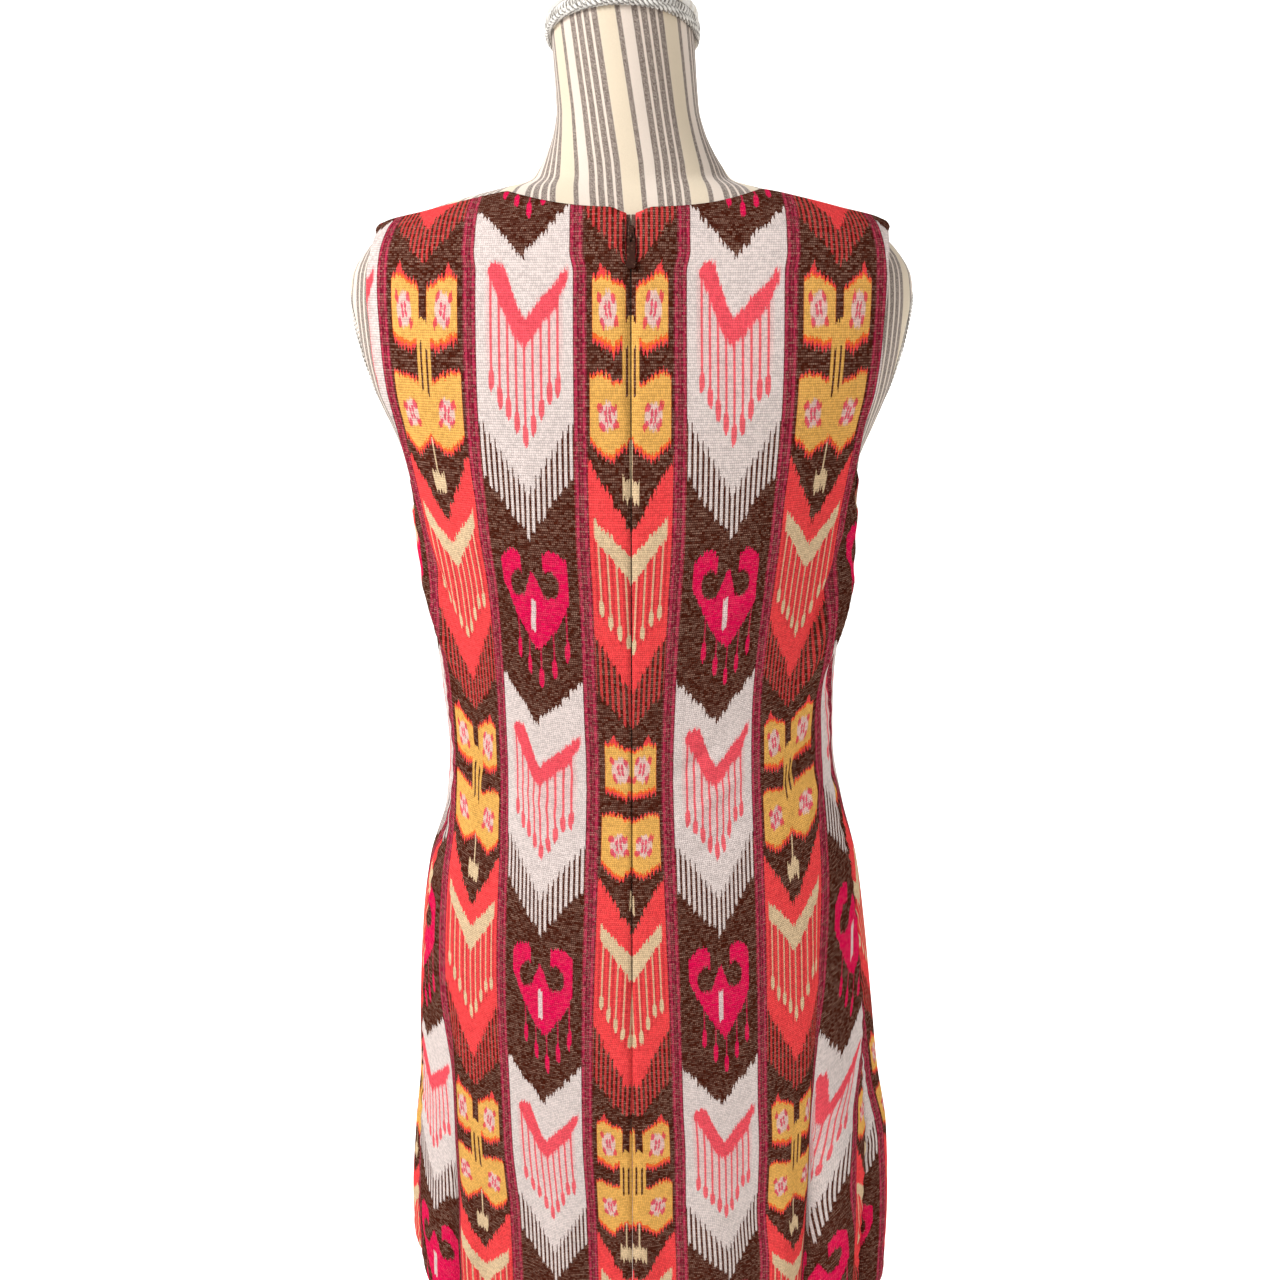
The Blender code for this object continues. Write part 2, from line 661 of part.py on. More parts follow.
def pivot_along():
    """How far below the slider's top the pull tab's pivot lies."""
    return SLIDER_LENGTH - PIVOT_FROM_END


def pull_tilt():
    """How far the pull tab leans out from the zip's line to hang just clear of the cloth."""
    start, down, out = zip_frame()
    pivot = start + down * pivot_along() + out * (SLIDER_PROUD + PIVOT_RISE)
    steepest = 0.0
    for x in (0.0, PULL_TOP_WIDTH / 2, PULL_END_WIDTH / 2):
        for share in np.linspace(0.1, 1.0, 19):
            height = pivot.z + down.z * PULL_LENGTH * share
            cloth = cloth_point(zip_share(x, +1, height), +1, True, height)
            along = (cloth - pivot).dot(down)
            rise = (cloth - pivot).dot(out) + PULL_REST_GAP + PULL_THICKNESS / 2
            steepest = max(steepest, math.atan2(rise, along))
    return steepest


def build_pull():
    """The pull tab: a tapered plate with a slot, whose top bar passes under the slider's bridge."""
    start, down, out = zip_frame()
    place = zip_place(start, down, out, pivot_along(), SLIDER_PROUD + PIVOT_RISE)
    place = place @ Matrix.Rotation(pull_tilt(), 4, "X")
    top = PULL_TOP_WIDTH / 2
    end = PULL_END_WIDTH / 2
    corner = PULL_CORNER
    outline = [(-top, -PULL_BAR_RADIUS), (top, -PULL_BAR_RADIUS)]
    outline += [(end, PULL_LENGTH - corner), (end - corner, PULL_LENGTH)]
    outline += [(-end + corner, PULL_LENGTH), (-end, PULL_LENGTH - corner)]
    builder = bmesh.new()
    plate = builder.faces.new([builder.verts.new((x, y, -PULL_THICKNESS / 2)) for x, y in outline])
    raised = bmesh.ops.extrude_face_region(builder, geom=[plate])
    lifted = [item for item in raised["geom"] if isinstance(item, bmesh.types.BMVert)]
    bmesh.ops.translate(builder, vec=(0, 0, PULL_THICKNESS), verts=lifted)
    bmesh.ops.recalc_face_normals(builder, faces=builder.faces)
    pull = add_object("zip_pull", mesh_from(builder, "zip_pull"), "zip_metal")
    pull.matrix_world = place
    slot = bmesh.new()
    bmesh.ops.create_cube(slot, size=1.0)
    bmesh.ops.scale(slot, vec=(PULL_SLOT_HALF_WIDTH * 2, PULL_SLOT_LENGTH, PULL_THICKNESS * 4), verts=slot.verts)
    shift = (0, PULL_BAR_RADIUS + PULL_SLOT_LENGTH / 2, 0)
    bmesh.ops.translate(slot, vec=shift, verts=slot.verts)
    cutter = helper_object("zip_pull_slot", mesh_from(slot, "zip_pull_slot"))
    cutter.matrix_world = place
    join_or_cut(pull, cutter, "DIFFERENCE")


# ================================================================ the form
def cut_flat(builder, point, normal):
    """Cuts everything beyond a plane away and closes the cut."""
    everything = builder.verts[:] + builder.edges[:] + builder.faces[:]
    bmesh.ops.bisect_plane(builder, geom=everything, plane_co=point, plane_no=normal, clear_outer=True)
    rim = [edge for edge in builder.edges if edge.is_boundary]
    bmesh.ops.holes_fill(builder, edges=rim, sides=0)


def arm_plate_normal(side):
    return Vector((side * math.cos(ARM_PLATE_TILT), 0, -math.sin(ARM_PLATE_TILT)))


def arm_plate_point(side):
    return Vector((side * ARM_PLATE_CENTRE.x, ARM_PLATE_CENTRE.y, ARM_PLATE_CENTRE.z))


def torso_heights():
    """Levels of the torso's rings: closer where the shoulders flatten towards the neck."""
    trunk = np.linspace(TORSO_BOTTOM_HEIGHT, 1.190, 12)
    upper_arm = np.linspace(1.210, 1.310, 7)
    shoulder = [1.320, 1.330, 1.338, 1.345, 1.351, 1.357, 1.3615, 1.3655, 1.369, 1.3725, 1.378]
    neck = [1.385, 1.394, 1.405, 1.420, 1.440, 1.505]
    return [*trunk, *upper_arm, *shoulder, *neck]


def build_torso():
    """The padded body of the form with its neck, cut flat at the arms and at the top of the neck."""
    builder = bmesh.new()
    rings = []
    for height in torso_heights():
        section = torso_section(height)
        ring = []
        for step in range(TORSO_SIDES):
            turn = 2 * math.pi * step / TORSO_SIDES
            side = 1 if turn <= math.pi else -1
            angle = turn if turn <= math.pi else 2 * math.pi - turn
            x, y = section_point(section, side, angle)
            ring.append(builder.verts.new((x + neck_lean(height), y, height)))
        rings.append(ring)
    for lower, upper in zip(rings, rings[1:]):
        for step in range(TORSO_SIDES):
            after = (step + 1) % TORSO_SIDES
            builder.faces.new((lower[step], upper[step], upper[after], lower[after]))
    builder.faces.new(rings[0])
    builder.faces.new(list(reversed(rings[-1])))
    for side in (+1, -1):
        cut_flat(builder, arm_plate_point(side), arm_plate_normal(side))
    cut_flat(builder, Vector((0, 0, NECK_TOP_HEIGHT)), neck_top_normal())
    bmesh.ops.recalc_face_normals(builder, faces=builder.faces)
    add_object("form_torso", mesh_from(builder, "form_torso"), "ticking")


def neck_top_normal():
    return Vector((0, -math.sin(NECK_TOP_SLOPE), math.cos(NECK_TOP_SLOPE)))


def neck_lean(height):
    """How far the neck's centre lies towards the wearer's left at a height."""
    return NECK_LEAN * max(height - NECK_BASE_HEIGHT, 0.0) / (NECK_TOP_HEIGHT - NECK_BASE_HEIGHT)


def neck_top_place():
    """The neck's sloping top as a place: local Z along the neck's top normal."""
    return Matrix.Translation((0, 0, NECK_TOP_HEIGHT)) @ Matrix.Rotation(NECK_TOP_SLOPE, 4, "X")


def band(name, outline_point, inner, outer, low, high, place, material, steps=40):
    """A closed band round an outline. outline_point(turn, out) gives a point, out metres outside it."""
    builder = bmesh.new()
    rounding = (outer - inner) * 0.3
    profile = [
        (inner, low),
        (outer - rounding, low),
        (outer, low + rounding),
        (outer, high - rounding),
        (outer - rounding, high),
        (inner, high),
    ]
    loops = []
    for step in range(steps):
        turn = 2 * math.pi * step / steps
        loops.append([builder.verts.new((*outline_point(turn, out), level)) for out, level in profile])
    for here, after in zip(loops, loops[1:] + loops[:1]):
        for k in range(len(profile)):
            following = (k + 1) % len(profile)
            builder.faces.new((here[k], after[k], after[following], here[following]))
    bmesh.ops.recalc_face_normals(builder, faces=builder.faces)
    obj = add_object(name, mesh_from(builder, name), material)
    obj.matrix_world = place
    return obj


def neck_outline(turn, out):
    """The neck's oval in its sloping top plane."""
    stretch = 1 / math.cos(NECK_TOP_SLOPE)
    return (NECK_RADIUS + out) * math.cos(turn), (NECK_RADIUS * stretch + out) * math.sin(turn)


def arm_outline(turn, out):
    """The oval of an arm plate: local X is its depth and local Y its height."""
    return (ARM_PLATE_HALF_DEPTH + out) * math.cos(turn), (ARM_PLATE_HALF_HEIGHT + out) * math.sin(turn)


def arm_place(side):
    """An arm plate's place: local Z outwards, local Y up along the plate."""
    out = arm_plate_normal(side)
    up = Vector((side * math.sin(ARM_PLATE_TILT), 0, math.cos(ARM_PLATE_TILT)))
    across = up.cross(out)
    turn = Matrix((across, up, out)).transposed()
    return Matrix.Translation(arm_plate_point(side)) @ turn.to_4x4()


def build_neck_trim():
    """The braid round the top of the neck and the wooden cap on it."""
    neck_band = band(
        "form_neck_braid",
        neck_outline,
        FIT_GAP,
        FIT_GAP + BRAID_THICKNESS,
        -BRAID_HEIGHT,
        -FIT_GAP,
        Matrix.Identity(4),
        "braid",
    )
    # The braid follows the upright, leaning neck while its edges follow the sloping top.
    place = neck_top_place()
    for vertex in neck_band.data.vertices:
        vertex.co.y += vertex.co.z * math.tan(NECK_TOP_SLOPE)
        vertex.co = place @ vertex.co
        vertex.co.x += neck_lean(vertex.co.z)
    radius = NECK_RADIUS + CAP_OVERHANG
    bottom, edge, top = FIT_GAP, FIT_GAP + CAP_EDGE_HEIGHT, FIT_GAP + CAP_EDGE_HEIGHT + CAP_DOME_HEIGHT
    profile = [(0.0, top)]
    for step in range(1, CAP_STEPS + 1):
        share = math.radians(90 * step / CAP_STEPS)
        profile.append(((radius - 0.002) * math.sin(share), edge + (top - edge) * math.cos(share)))
    profile += [(radius, edge - CAP_ROUNDING), (radius, bottom + CAP_ROUNDING)]
    profile += [(radius - CAP_ROUNDING, bottom), (0.0, bottom)]
    stretch = Matrix.Diagonal((1, 1 / math.cos(NECK_TOP_SLOPE), 1, 1))
    seat = Matrix.Translation((neck_lean(NECK_TOP_HEIGHT), 0, 0)) @ neck_top_place()
    turned("form_neck_cap", profile, "whitewashed_wood", seat @ stretch)


def build_arm_trim(label, side):
    """An arm plate and the braid round its edge."""
    place = arm_place(side)
    builder = bmesh.new()
    rings = []
    top = FIT_GAP + ARM_PLATE_THICKNESS
    for out, level in [(0.0, FIT_GAP), (0.0, top - ARM_PLATE_EDGE), (-ARM_PLATE_EDGE, top)]:
        turns = [2 * math.pi * step / ARM_SIDES for step in range(ARM_SIDES)]
        rings.append([builder.verts.new((*arm_outline(turn, out), level)) for turn in turns])
    for lower, upper in zip(rings, rings[1:]):
        for a, b, c, d in zip(lower, lower[1:] + lower[:1], upper[1:] + upper[:1], upper):
            builder.faces.new((a, b, c, d))
    builder.faces.new(rings[0])
    builder.faces.new(rings[-1])
    bmesh.ops.recalc_face_normals(builder, faces=builder.faces)
    name = f"form_arm_plate_{label}"
    plate = add_object(name, mesh_from(builder, name), "ticking")
    plate.matrix_world = place
    band(
        f"form_arm_braid_{label}",
        arm_outline,
        FIT_GAP,
        FIT_GAP + ARM_BRAID_WIDTH,
        FIT_GAP,
        FIT_GAP + ARM_BRAID_THICKNESS,
        place,
        "braid",
        steps=ARM_SIDES,
    )


def build_stand():
    """Base, foot collar, pole and the socket under the torso, stacked with small gaps."""
    rounding, foot_rounding = BASE_ROUNDING, BASE_ROUNDING * 0.3
    base_profile = [
        (0.0, BASE_THICKNESS),
        (BASE_RADIUS - rounding * 1.2, BASE_THICKNESS),
        (BASE_RADIUS - rounding * 0.4, BASE_THICKNESS - rounding * 0.4),
        (BASE_RADIUS, BASE_THICKNESS - rounding),
        (BASE_RADIUS, foot_rounding),
        (BASE_RADIUS - foot_rounding, 0.0),
        (0.0, 0.0),
    ]
    turned("stand_base", base_profile, "whitewashed_wood", steps=48)
    collar_bottom = BASE_THICKNESS + FIT_GAP
    collar_top = collar_bottom + FOOT_COLLAR_HEIGHT
    collar_profile = [
        (0.0, collar_top),
        (POLE_RADIUS + 0.004, collar_top),
        (POLE_RADIUS + 0.007, collar_top - 0.004),
        (POLE_RADIUS + 0.009, collar_top - 0.014),
        (FOOT_COLLAR_RADIUS - 0.003, collar_bottom + 0.008),
        (FOOT_COLLAR_RADIUS, collar_bottom + 0.004),
        (FOOT_COLLAR_RADIUS, collar_bottom),
        (0.0, collar_bottom),
    ]
    turned("stand_foot_collar", collar_profile, "whitewashed_wood", steps=32)
    socket_top = TORSO_BOTTOM_HEIGHT - FIT_GAP
    socket_bottom = socket_top - SOCKET_THICKNESS
    socket_profile = [
        (0.0, socket_top),
        (SOCKET_RADIUS, socket_top),
        (SOCKET_RADIUS, socket_bottom + 0.006),
        (SOCKET_RADIUS - 0.008, socket_bottom),
        (0.0, socket_bottom),
    ]
    turned("stand_socket", socket_profile, "whitewashed_wood", steps=32)
    pole_bottom, pole_top = collar_top + FIT_GAP, socket_bottom - FIT_GAP
    pole_profile = [(0.0, pole_top), (POLE_RADIUS, pole_top), (POLE_RADIUS, pole_bottom), (0.0, pole_bottom)]
    turned("stand_pole", pole_profile, "whitewashed_wood", steps=24)


# ================================================================ everything
clear_scene()
part_collection = bpy.data.collections.new("sheath_dress_on_form")
cutter_collection = bpy.data.collections.new("cutters")
cutter_collection.hide_render = True
for made_collection in (part_collection, cutter_collection):
    bpy.context.scene.collection.children.link(made_collection)
made_materials = {name: make_material(name) for name in MATERIALS}

build_back("dress_back_left", +1)
build_back("dress_back_right", -1)
build_front()
build_zip_tape("zip_tape_left", +1)
build_zip_tape("zip_tape_right", -1)
build_slider()
build_pull()
build_torso()
build_neck_trim()
build_arm_trim("left", +1)
build_arm_trim("right", -1)
build_stand()
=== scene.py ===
"""Looks of a sheath dress on a dress form: ikat cloth, striped ticking, plaited braid and wood.

Metres, +Z up. The dress faces -Y, so its zipped back faces +Y, and the wearer's left is +X. The
cloth follows the sections and folds of its solids, as a finer surface with its smaller creases.
Angles round a section run from 0 at the centre back, over 90 at the side, to 180 at the front.
"""

from __future__ import annotations

import logging
import math
from dataclasses import dataclass, field
from enum import Enum

import bmesh
import bpy
import numpy as np
from bpy.types import Material, NodeSocket, Object
from mathutils import Matrix, Vector

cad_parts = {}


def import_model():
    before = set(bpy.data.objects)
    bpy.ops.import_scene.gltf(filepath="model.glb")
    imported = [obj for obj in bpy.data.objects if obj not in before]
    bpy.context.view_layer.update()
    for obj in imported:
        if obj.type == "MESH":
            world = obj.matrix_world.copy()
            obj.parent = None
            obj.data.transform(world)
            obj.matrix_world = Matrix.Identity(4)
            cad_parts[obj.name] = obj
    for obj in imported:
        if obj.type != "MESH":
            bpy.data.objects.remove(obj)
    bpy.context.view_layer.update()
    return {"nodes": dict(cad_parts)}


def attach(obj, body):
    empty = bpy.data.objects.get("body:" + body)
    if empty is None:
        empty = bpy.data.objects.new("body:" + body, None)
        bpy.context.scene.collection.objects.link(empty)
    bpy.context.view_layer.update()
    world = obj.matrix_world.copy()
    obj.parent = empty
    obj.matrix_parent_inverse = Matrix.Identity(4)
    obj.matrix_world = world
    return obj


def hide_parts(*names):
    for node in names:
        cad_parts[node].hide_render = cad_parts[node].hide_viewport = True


Array = np.ndarray
Pair = tuple[float, float]
Three = tuple[float, float, float]
Four = tuple[float, float, float, float]
LOG = logging.getLogger("sheath_dress")
BODY = "dress_and_form"

# ---------------------------------------------------------------- shared sizes
HEM_HEIGHT = 0.452
HEM_RISES = {+1: 0.036, -1: 0.0}
UNDERARM_HEIGHT = 1.14
NECK_POINT_HALF_WIDTHS = {+1: 0.1, -1: 0.107}
SHOULDER_TIP_HALF_WIDTH = 0.1745
SHOULDER_SEAM_HEIGHT = 1.369
BACK_NECK_HEIGHT = 1.352
FRONT_NECK_HEIGHT = 1.306
CLOTH_THICKNESS = 0.0012
SEAM_GAP = 0.0003
FIT_GAP = 0.0003
NECK_TOP_HEIGHT = 1.479
NECK_TOP_SLOPE = math.radians(16.0)
NECK_RADIUS = 0.05
NECK_BASE_HEIGHT = 1.385
NECK_LEAN = 0.0065
TORSO_BOTTOM_HEIGHT = 0.64
ARM_PLATE_CENTRE = (0.1905, 0.0, 1.257)
ARM_PLATE_TILT = math.radians(14.0)
# The sharpest bends that are still shaded as smooth.
TORSO_CREASE = math.radians(40)
ARM_PLATE_CREASE = math.radians(50)


def in_metres(rows: list[tuple], *columns: int) -> list[tuple]:
    """The rows, with their columns of millimetres turned into metres."""
    return [tuple(v / 1000 if k in columns else v for k, v in enumerate(row)) for row in rows]


# Columns: height, left reach, right reach, back reach, front reach, squareness. Lengths are in
# millimetres wherever in_metres reads them.
SHOULDER_ROWS = in_metres(
    [
        (1205, 180, 181, 110, 110, 2.4), (1235, 195, 195, 109, 100, 2.45),
        (1264, 203, 203, 105.5, 91, 2.45), (1290, 205.5, 205.5, 99.5, 83.5, 2.45),
        (1310, 203, 203, 94, 78, 2.4), (1325, 194.5, 194.5, 88.5, 74, 2.3),
        (1338, 181.5, 181.5, 82, 70, 2.2), (1348, 164.5, 164.5, 77, 66.5, 2.15),
        (1357, 142.5, 142.5, 71.5, 63, 2.1), (1364, 119.5, 119.5, 66.5, 60, 2.1),
        (1369.5, 97.5, 97.5, 62, 57, 2.05), (1376, 72.5, 72.5, 58.5, 54.5, 2),
    ],
    0, 1, 2, 3, 4,
)
TORSO_ROWS = in_metres(
    [
        (640, 150, 150, 98, 86, 2.2), (700, 160, 160, 108, 94, 2.25),
        (760, 164.5, 164.5, 112, 98, 2.3), (840, 151, 151, 100, 95, 2.25),
        (900, 133, 133, 85, 90, 2.2), (950, 124, 124, 78, 87, 2.2),
        (1000, 128, 128, 82, 92, 2.2), (1060, 142, 142, 93, 108, 2.2),
        (1110, 153, 153, 101, 119, 2.25), (1160, 164, 164, 106.5, 118, 2.3),
    ],
    0, 1, 2, 3, 4,
)
NECK_ROWS = [
    (1.384, 0.066, 0.066, 0.0565, 0.053, 2),
    (1.395, 0.0595, 0.0595, 0.0545, 0.0515, 2),
    (1.408, 0.054, 0.054, 0.0525, 0.0505, 2),
    (1.424, 0.0505, 0.0505, 0.051, 0.05, 2),
    (1.445, NECK_RADIUS, NECK_RADIUS, NECK_RADIUS, NECK_RADIUS, 2),
    (1.51, NECK_RADIUS, NECK_RADIUS, NECK_RADIUS, NECK_RADIUS, 2),
]
DRESS_ROWS = in_metres(
    [
        (400, 193, 214, 119, 114, 2.2), (520, 193, 216, 120, 115, 2.2),
        (600, 187, 214, 120.5, 115, 2.2), (660, 180, 205.5, 121, 115, 2.2),
        (720, 177.5, 199.5, 120.5, 114, 2.2), (800, 171.5, 189.5, 115.5, 111, 2.2),
        (850, 164, 181.5, 108.5, 108, 2.2), (900, 149, 168, 98.5, 105, 2.2),
        (950, 144.5, 158.5, 92, 104, 2.2), (1000, 148, 157, 93, 108, 2.2),
        (1050, 153.5, 161, 99, 117, 2.2), (1100, 160, 166.5, 105.5, 124, 2.25),
        (1140, 165, 169.5, 109.5, 124, 2.3),
    ],
    0, 1, 2, 3, 4,
)
# Columns: height, how far round the left and the right back's edges lie from the centre back,
# and the front's edges from the centre front, in degrees.
ARMHOLE_ROWS = [
    (1.152, 69, 69, 96),
    (1.168, 67, 66, 84),
    (1.2, 66, 63, 75),
    (1.24, 61.5, 57.5, 69),
    (1.28, 58.5, 54, 66),
    (1.31, 60, 56, 67.5),
    (1.325, 64.6, 62, 71),
    (1.335, 71.6, 70.5, 77),
    (1.3425, 90, 90, 90),
    (1.36, 90, 90, 90),
]
# Columns: height, angle of the left and the right side seam.
SIDE_SEAM_ROWS = [
    (0.4, 74, 66),
    (0.64, 74, 67),
    (0.8, 73, 70),
    (0.95, 72, 73),
    (1.05, 73, 74),
    (1.1, 73, 75),
    (1.14, 72, 75),
]
# Folds of the solids. Columns: angle and height where each starts and ends (angles above 0 on the
# wearer's left, below 0 on the right), half width in degrees, how far it stands out, and whether
# it grows towards its lower end.
FOLD_ROWS = in_metres(
    [
        (-40, 760, -37, 400, 5, -7, True), (-53, 800, -51, 400, 7, 9, True),
        (-69, 780, -62, 400, 5.5, -9, True), (-83, 760, -78, 400, 7, 8, True),
        (38, 700, 36, 400, 6, -3.5, True), (56, 740, 54, 400, 8, 4.5, True),
        (75, 720, 72, 400, 6, -4.5, True), (-76, 1155, -50, 970, 6.5, 6.5, False),
        (-88, 1120, -66, 960, 6, -6, False), (78, 1150, 56, 1000, 6.5, 3.5, False),
        (90, 1110, 70, 980, 6, -3.5, False), (108, 760, 112, 400, 7, -6.5, True),
        (124, 740, 127, 400, 7.5, 7, True), (143, 700, 145, 400, 7, -5.5, True),
        (-106, 740, -110, 400, 7, -5, True), (-122, 760, -128, 400, 7.5, 6.5, True),
        (-144, 680, -147, 400, 7, -5, True), (104, 1120, 122, 980, 7, -5, False),
        (-104, 1120, -121, 990, 7, -4.5, False),
    ],
    1, 3, 5,
)
# The share of its length after which a growing fold has its full depth.
FULL_FOLD_SHARE = 0.8
# Smaller creases of the cloth itself, in the same columns.
CREASE_ROWS = in_metres(
    [
        # narrow hollows where the skirt tucks in on itself beside both outer columns of the back
        (-44, 820, -38.5, 400, 1.6, -5.2, True), (-34, 720, -31, 400, 2.4, 3.7, True),
        (-57, 700, -56.5, 400, 1.7, -4.4, True), (47, 780, 46, 400, 1.6, -3.4, True),
        (41, 690, 40.5, 400, 2.2, 2.8, True),
        # soft drag creases over the hip and the small of the back
        (-26, 992, -4, 938, 3, -2.6, False), (-33, 962, -6, 908, 2.8, 2.8, False),
        (-30, 925, -9, 878, 3.2, -2.2, False), (27, 982, 5, 930, 2.8, -2.3, False),
        (36, 950, 8, 902, 3.2, 2.6, False), (30, 912, 10, 868, 3, -2, False),
        (-60, 990, -38, 915, 2.6, -3.1, False), (-66, 955, -44, 885, 2.6, 2.8, False),
        (57, 980, 38, 912, 2.6, -2.6, False), (62, 945, 43, 880, 2.8, 2.3, False),
        (-17, 790, -14, 420, 4, 3.3, True), (-26, 740, -25, 420, 3.2, -3.1, True),
        (15, 770, 13, 420, 3.6, 2.8, True), (25, 730, 23, 420, 3.4, -3.1, True),
        (33, 660, 31.5, 420, 2.6, 2.2, True), (-7, 730, -5, 420, 2.2, -2.5, True),
        (6, 700, 5.5, 420, 2.4, -2.2, True),
        # short pulls across the shoulder blades
        (-52, 1235, -30, 1140, 4.2, -1.2, False), (50, 1225, 31, 1130, 4, -1.1, False),
        (-36, 1110, -14, 1060, 3.4, 1.7, False), (33, 1095, 12, 1050, 3.6, 1.6, False),
        # pulls beside the underarms
        (-68, 1150, -45, 1020, 2.4, -4.7, False), (-80, 1128, -58, 1005, 2.2, 4.2, False),
        (-62, 1090, -44, 975, 2, 2.8, False), (66, 1145, 50, 1045, 2.4, -3.1, False),
        (72, 1105, 56, 1010, 2.2, 2.5, False),
        # the same kinds on the front
        (160, 740, 162, 410, 4, 3.1, True), (151, 690, 153, 410, 3, -2.5, True),
        (-161, 750, -159, 410, 3.6, 2.9, True), (-152, 700, -151, 410, 3, -2.6, True),
        (172, 700, 173, 410, 3, -2.6, True), (-171, 680, -172, 410, 3.4, -2.5, True),
        (118, 1105, 142, 1060, 3.6, -3.4, False), (112, 1070, 136, 1020, 3.2, 2.5, False),
        (-117, 1110, -140, 1065, 3.6, -3.3, False), (-113, 1075, -134, 1025, 3.2, 2.3, False),
        (150, 985, 174, 930, 3.2, -2.5, False), (143, 950, 170, 898, 3.2, 2.5, False),
        (-148, 975, -172, 925, 3, -2.3, False), (-141, 945, -168, 890, 3.2, 2.2, False),
    ],
    1, 3, 5,
)


class Side(Enum):
    """The two halves of the garment and the form, as the wearer has them."""

    LEFT = +1
    RIGHT = -1


class Half(Enum):
    """Whether a panel is part of the back or of the front."""

    BACK = "back"
    FRONT = "front"


# ======== numbers over height
class SmoothTable:
    """Columns of numbers that run smoothly, without overshoot, over height."""

    def __init__(self, rows: list[tuple[float, ...]]) -> None:
        """Prepares the tangents.

        Args:
            rows: one row for each height, the height first.
        """
        data = np.array(rows, float)
        self.heights, self.values = data[:, 0], data[:, 1:]
        steps = np.diff(self.heights)[:, None]
        slopes = np.diff(self.values, axis=0) / steps
        turning = slopes[:-1] * slopes[1:] <= 0
        weights_1 = 2 * steps[1:] + steps[:-1]
        weights_2 = steps[1:] + 2 * steps[:-1]
        safe_1 = np.where(turning, 1.0, slopes[:-1])
        safe_2 = np.where(turning, 1.0, slopes[1:])
        mean = (weights_1 + weights_2) / (weights_1 / safe_1 + weights_2 / safe_2)
        self.tangents = np.zeros_like(self.values)
        self.tangents[1:-1] = np.where(turning, 0.0, mean)
        self.tangents[0], self.tangents[-1] = slopes[0], slopes[-1]

    def __call__(self, height: Array) -> Array:
        """The columns at each height, in a last axis of their own."""
        height = np.clip(np.asarray(height, float), self.heights[0], self.heights[-1])
        row = np.clip(np.searchsorted(self.heights, height) - 1, 0, len(self.heights) - 2)
        step = (self.heights[row + 1] - self.heights[row])[..., None]
        t = (height - self.heights[row])[..., None] / step
        return (
            (2 * t**3 - 3 * t**2 + 1) * self.values[row]
            + (t**3 - 2 * t**2 + t) * step * self.tangents[row]
            + (-2 * t**3 + 3 * t**2) * self.values[row + 1]
            + (t**3 - t**2) * step * self.tangents[row + 1]
        )


def ease(value: Array, start: float, end: float) -> Array:
    """0 before start, 1 after end, and a smooth rise between them."""
    t = np.clip((np.asarray(value, float) - start) / (end - start), 0.0, 1.0)
    return t * t * (3 - 2 * t)


def section_xy(section: Array, side: Side, angle: Array) -> tuple[Array, Array]:
    """Points on level sections.

    Args:
        section: reaches and squareness, in the last axis.
        side: the half that the points lie on.
        angle: angles round the section in radians, 0 to pi.

    Returns:
        x and y of the points.
    """
    left, right, back, front, squareness = np.moveaxis(section, -1, 0)
    half = left if side is Side.LEFT else right
    depth = np.where(angle <= math.pi / 2, back, front)
    power = 2 / squareness
    x = side.value * half * np.abs(np.sin(angle)) ** power
    y = np.copysign(depth * np.abs(np.cos(angle)) ** power, np.cos(angle))
    return x, y


def unit(vectors: Array) -> Array:
    """The same directions with length 1."""
    return vectors / np.linalg.norm(vectors, axis=-1, keepdims=True)


def full_turn(count: int) -> Array:
    """Even angles round a whole turn."""
    return np.linspace(0, 2 * math.pi, count, endpoint=False)


def running_length(points: Array, axis: int = 0) -> Array:
    """Length along lines of points from their first point.

    Args:
        points: the points, in a last axis of three.
        axis: the axis that runs along the lines.

    Returns:
        The length at each point.
    """
    gaps = np.linalg.norm(np.diff(points, axis=axis), axis=-1)
    start = np.zeros_like(np.take(gaps, [0], axis=axis))
    return np.concatenate([start, np.cumsum(gaps, axis=axis)], axis=axis)


def read_along(at: Array, lengths: Array, vectors: Array) -> Array:
    """Vectors along a line, read at other lengths."""
    return np.stack([np.interp(at, lengths, vectors[:, k]) for k in range(3)], axis=-1)


